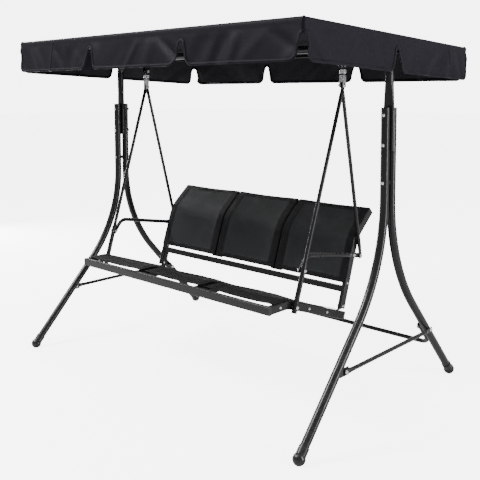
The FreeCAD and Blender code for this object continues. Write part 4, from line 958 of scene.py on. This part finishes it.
def border_at(along, down, off):
    """The border at any place along it, between two of its columns."""
    along %= AROUND
    low, high = 0, len(border) - 1
    while low < high:
        middle = (low + high + 1) // 2
        if border[middle][2] <= along:
            low = middle
        else:
            high = middle - 1
    here, after = border[low], border[(low + 1) % len(border)]
    gap = (after[2] - here[2]) % AROUND
    share = (along - here[2]) / gap if gap > 1e-9 else 0.0
    mixed = (here[0].lerp(after[0], share), here[1].lerp(after[1], share).normalized(), along, 0.0,
             here[4] + (after[4] - here[4]) * share, here[5])
    return on_border(mixed, down, off)


points, uvs, faces = hem_strip()
hems = with_map(mesh_piece("canopy_hem", points, faces, tape_cloth), uvs)
thicken(hems, 0.0005)
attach(hems, "canopy")

SEAM_HALF = 0.0045
SEAM_STAND = 0.0012
SEAM_LIFT = 0.0003


def seam_strip(line):
    """A flat felled seam along a list of (place, sideways, outward)."""
    points, uvs, faces = [], [], []
    gone = 0.0
    for k, (spot, aside, out) in enumerate(line):
        gone += (spot - line[k - 1][0]).length if k else 0.0
        for share, lift in ((-1, 0.1), (-0.8, 1), (0.8, 1), (1, 0.1)):
            points.append(spot + aside * SEAM_HALF * share + out * SEAM_STAND * lift)
            uvs.append((SEAM_HALF * (1 + share) - 0.001, gone))
    for k in range(len(line) - 1):
        for row in range(3):
            a = 4 * k + row
            faces.append((a, a + 1, a + 5, a + 4))
    return points, uvs, faces


def border_line(along, first, last, steps):
    """A seam's line down the border at one place."""
    line = []
    for k in range(steps + 1):
        down = first + (last - first) * k / steps
        spot = border_at(along, down, 0.0)
        out = (border_at(along, down, 0.001) - spot).normalized()
        aside = (border_at(along + 0.001, down, 0.0) - border_at(along - 0.001, down, 0.0)).normalized()
        line.append((spot, aside, out))
    return line


SEAM_X, SEAM_Y = 0.585, 0.414
long_side, short_side = 2 * (HALF - CORNER), REAR - FRONT - 2 * CORNER
side_start = long_side + ARC
rear_start = side_start + short_side + ARC
left_start = rear_start + long_side + ARC
seam_places = (HALF - CORNER - SEAM_X, side_start + SEAM_Y - FRONT - CORNER,
               rear_start + HALF - CORNER + SEAM_X, left_start + REAR - CORNER - SEAM_Y)
parts, seam_uvs = [], []
for along_place in seam_places:
    points, uvs, faces = seam_strip(border_line(along_place, EDGE, DROP - 0.001, 24))
    parts.append((points, faces))
    seam_uvs += uvs
up_way = to_roof.to_3x3() @ Vector((0, 0, 1))
for seam_x in (-SLIT_X, SLIT_X):
    line = []
    for y in y_lines:
        spot = to_roof @ Vector((seam_x, y, TOP - top_sag(seam_x, y) + SEAM_LIFT))
        line.append((spot, Vector((1, 0, 0)), up_way))
    points, uvs, faces = seam_strip(line)
    parts.append((points, faces))
    seam_uvs += uvs
seams = with_map(gathered("canopy_seams", parts, tape_cloth), seam_uvs)
thicken(seams, 0.0004)
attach(seams, "canopy")


# ------------------------------------------------------------ studio
# A bright white floor and backdrop, one broad soft light high in front and two tall strips at
# the sides, which draw the long highlights down the tubes.

def pale_floor():
    material, tree, shader, where = blank_material("studio floor")
    mottle = speckle(tree, where, 0.6, 3.0)
    base = two_tone(tree, mottle, shade((0.90, 0.90, 0.90)), shade((0.93, 0.93, 0.93)))
    tree.links.new(base, shader.inputs["Base Color"])
    shader.inputs["Roughness"].default_value = 0.9
    seen = put(tree, "LightPath").outputs["Is Camera Ray"]
    shader.inputs["Emission Color"].default_value = (1.0, 1.0, 1.0, 1.0)
    tree.links.new(sums(tree, "MULTIPLY", seen, 5.1), shader.inputs["Emission Strength"])
    reach = 40.0
    corners = [Vector((x * reach, y * reach, 0)) for x, y in ((-1, -1), (1, -1), (1, 1), (-1, 1))]
    return mesh_piece("studio_floor", corners, [(0, 1, 2, 3)], material, smooth=False)


pale_floor()
world = bpy.data.worlds.new("studio")
bpy.context.scene.world = world
world.use_nodes = True
sky = world.node_tree.nodes["Background"]
sky.inputs["Color"].default_value = (1.0, 1.0, 1.0, 1.0)
seen = put(world.node_tree, "LightPath").outputs["Is Camera Ray"]
world.node_tree.links.new(sums(world.node_tree, "MULTIPLY_ADD", seen, 5.4, 0.65), sky.inputs["Strength"])


def soft_light(name, place, target, size, power):
    light = bpy.data.lights.new(name, "AREA")
    light.shape = "RECTANGLE"
    light.size, light.size_y = size
    light.energy = power
    lamp = bpy.data.objects.new(name, light)
    lamp.location = place
    lamp.rotation_euler = (Vector(target) - Vector(place)).to_track_quat("-Z", "Y").to_euler()
    bpy.context.scene.collection.objects.link(lamp)
    return lamp


soft_light("key", (-2.5, -3.0, 4.2), (0, 0, 1.0), (1.4, 1.0), 290)
soft_light("strip_right", (4.2, 0.6, 1.6), (0, 0, 0.9), (0.4, 3.2), 165)
soft_light("strip_left", (-4.0, 0.5, 1.5), (0, 0, 0.9), (0.4, 3.2), 150)

CAMERA_PLACE = (2.2925, -2.3763, 1.2635)
CAMERA_TURN, CAMERA_DIP = math.radians(42.43), math.radians(4.508)
camera = bpy.data.cameras.new("camera")
camera.sensor_width = 36.0
camera.lens = 53.15
camera.shift_x, camera.shift_y = -0.0233, -0.1875
viewer = bpy.data.objects.new("camera", camera)
viewer.location = CAMERA_PLACE
viewer.rotation_euler = (math.pi / 2 - CAMERA_DIP, 0, CAMERA_TURN)
bpy.context.scene.collection.objects.link(viewer)
bpy.context.scene.camera = viewer
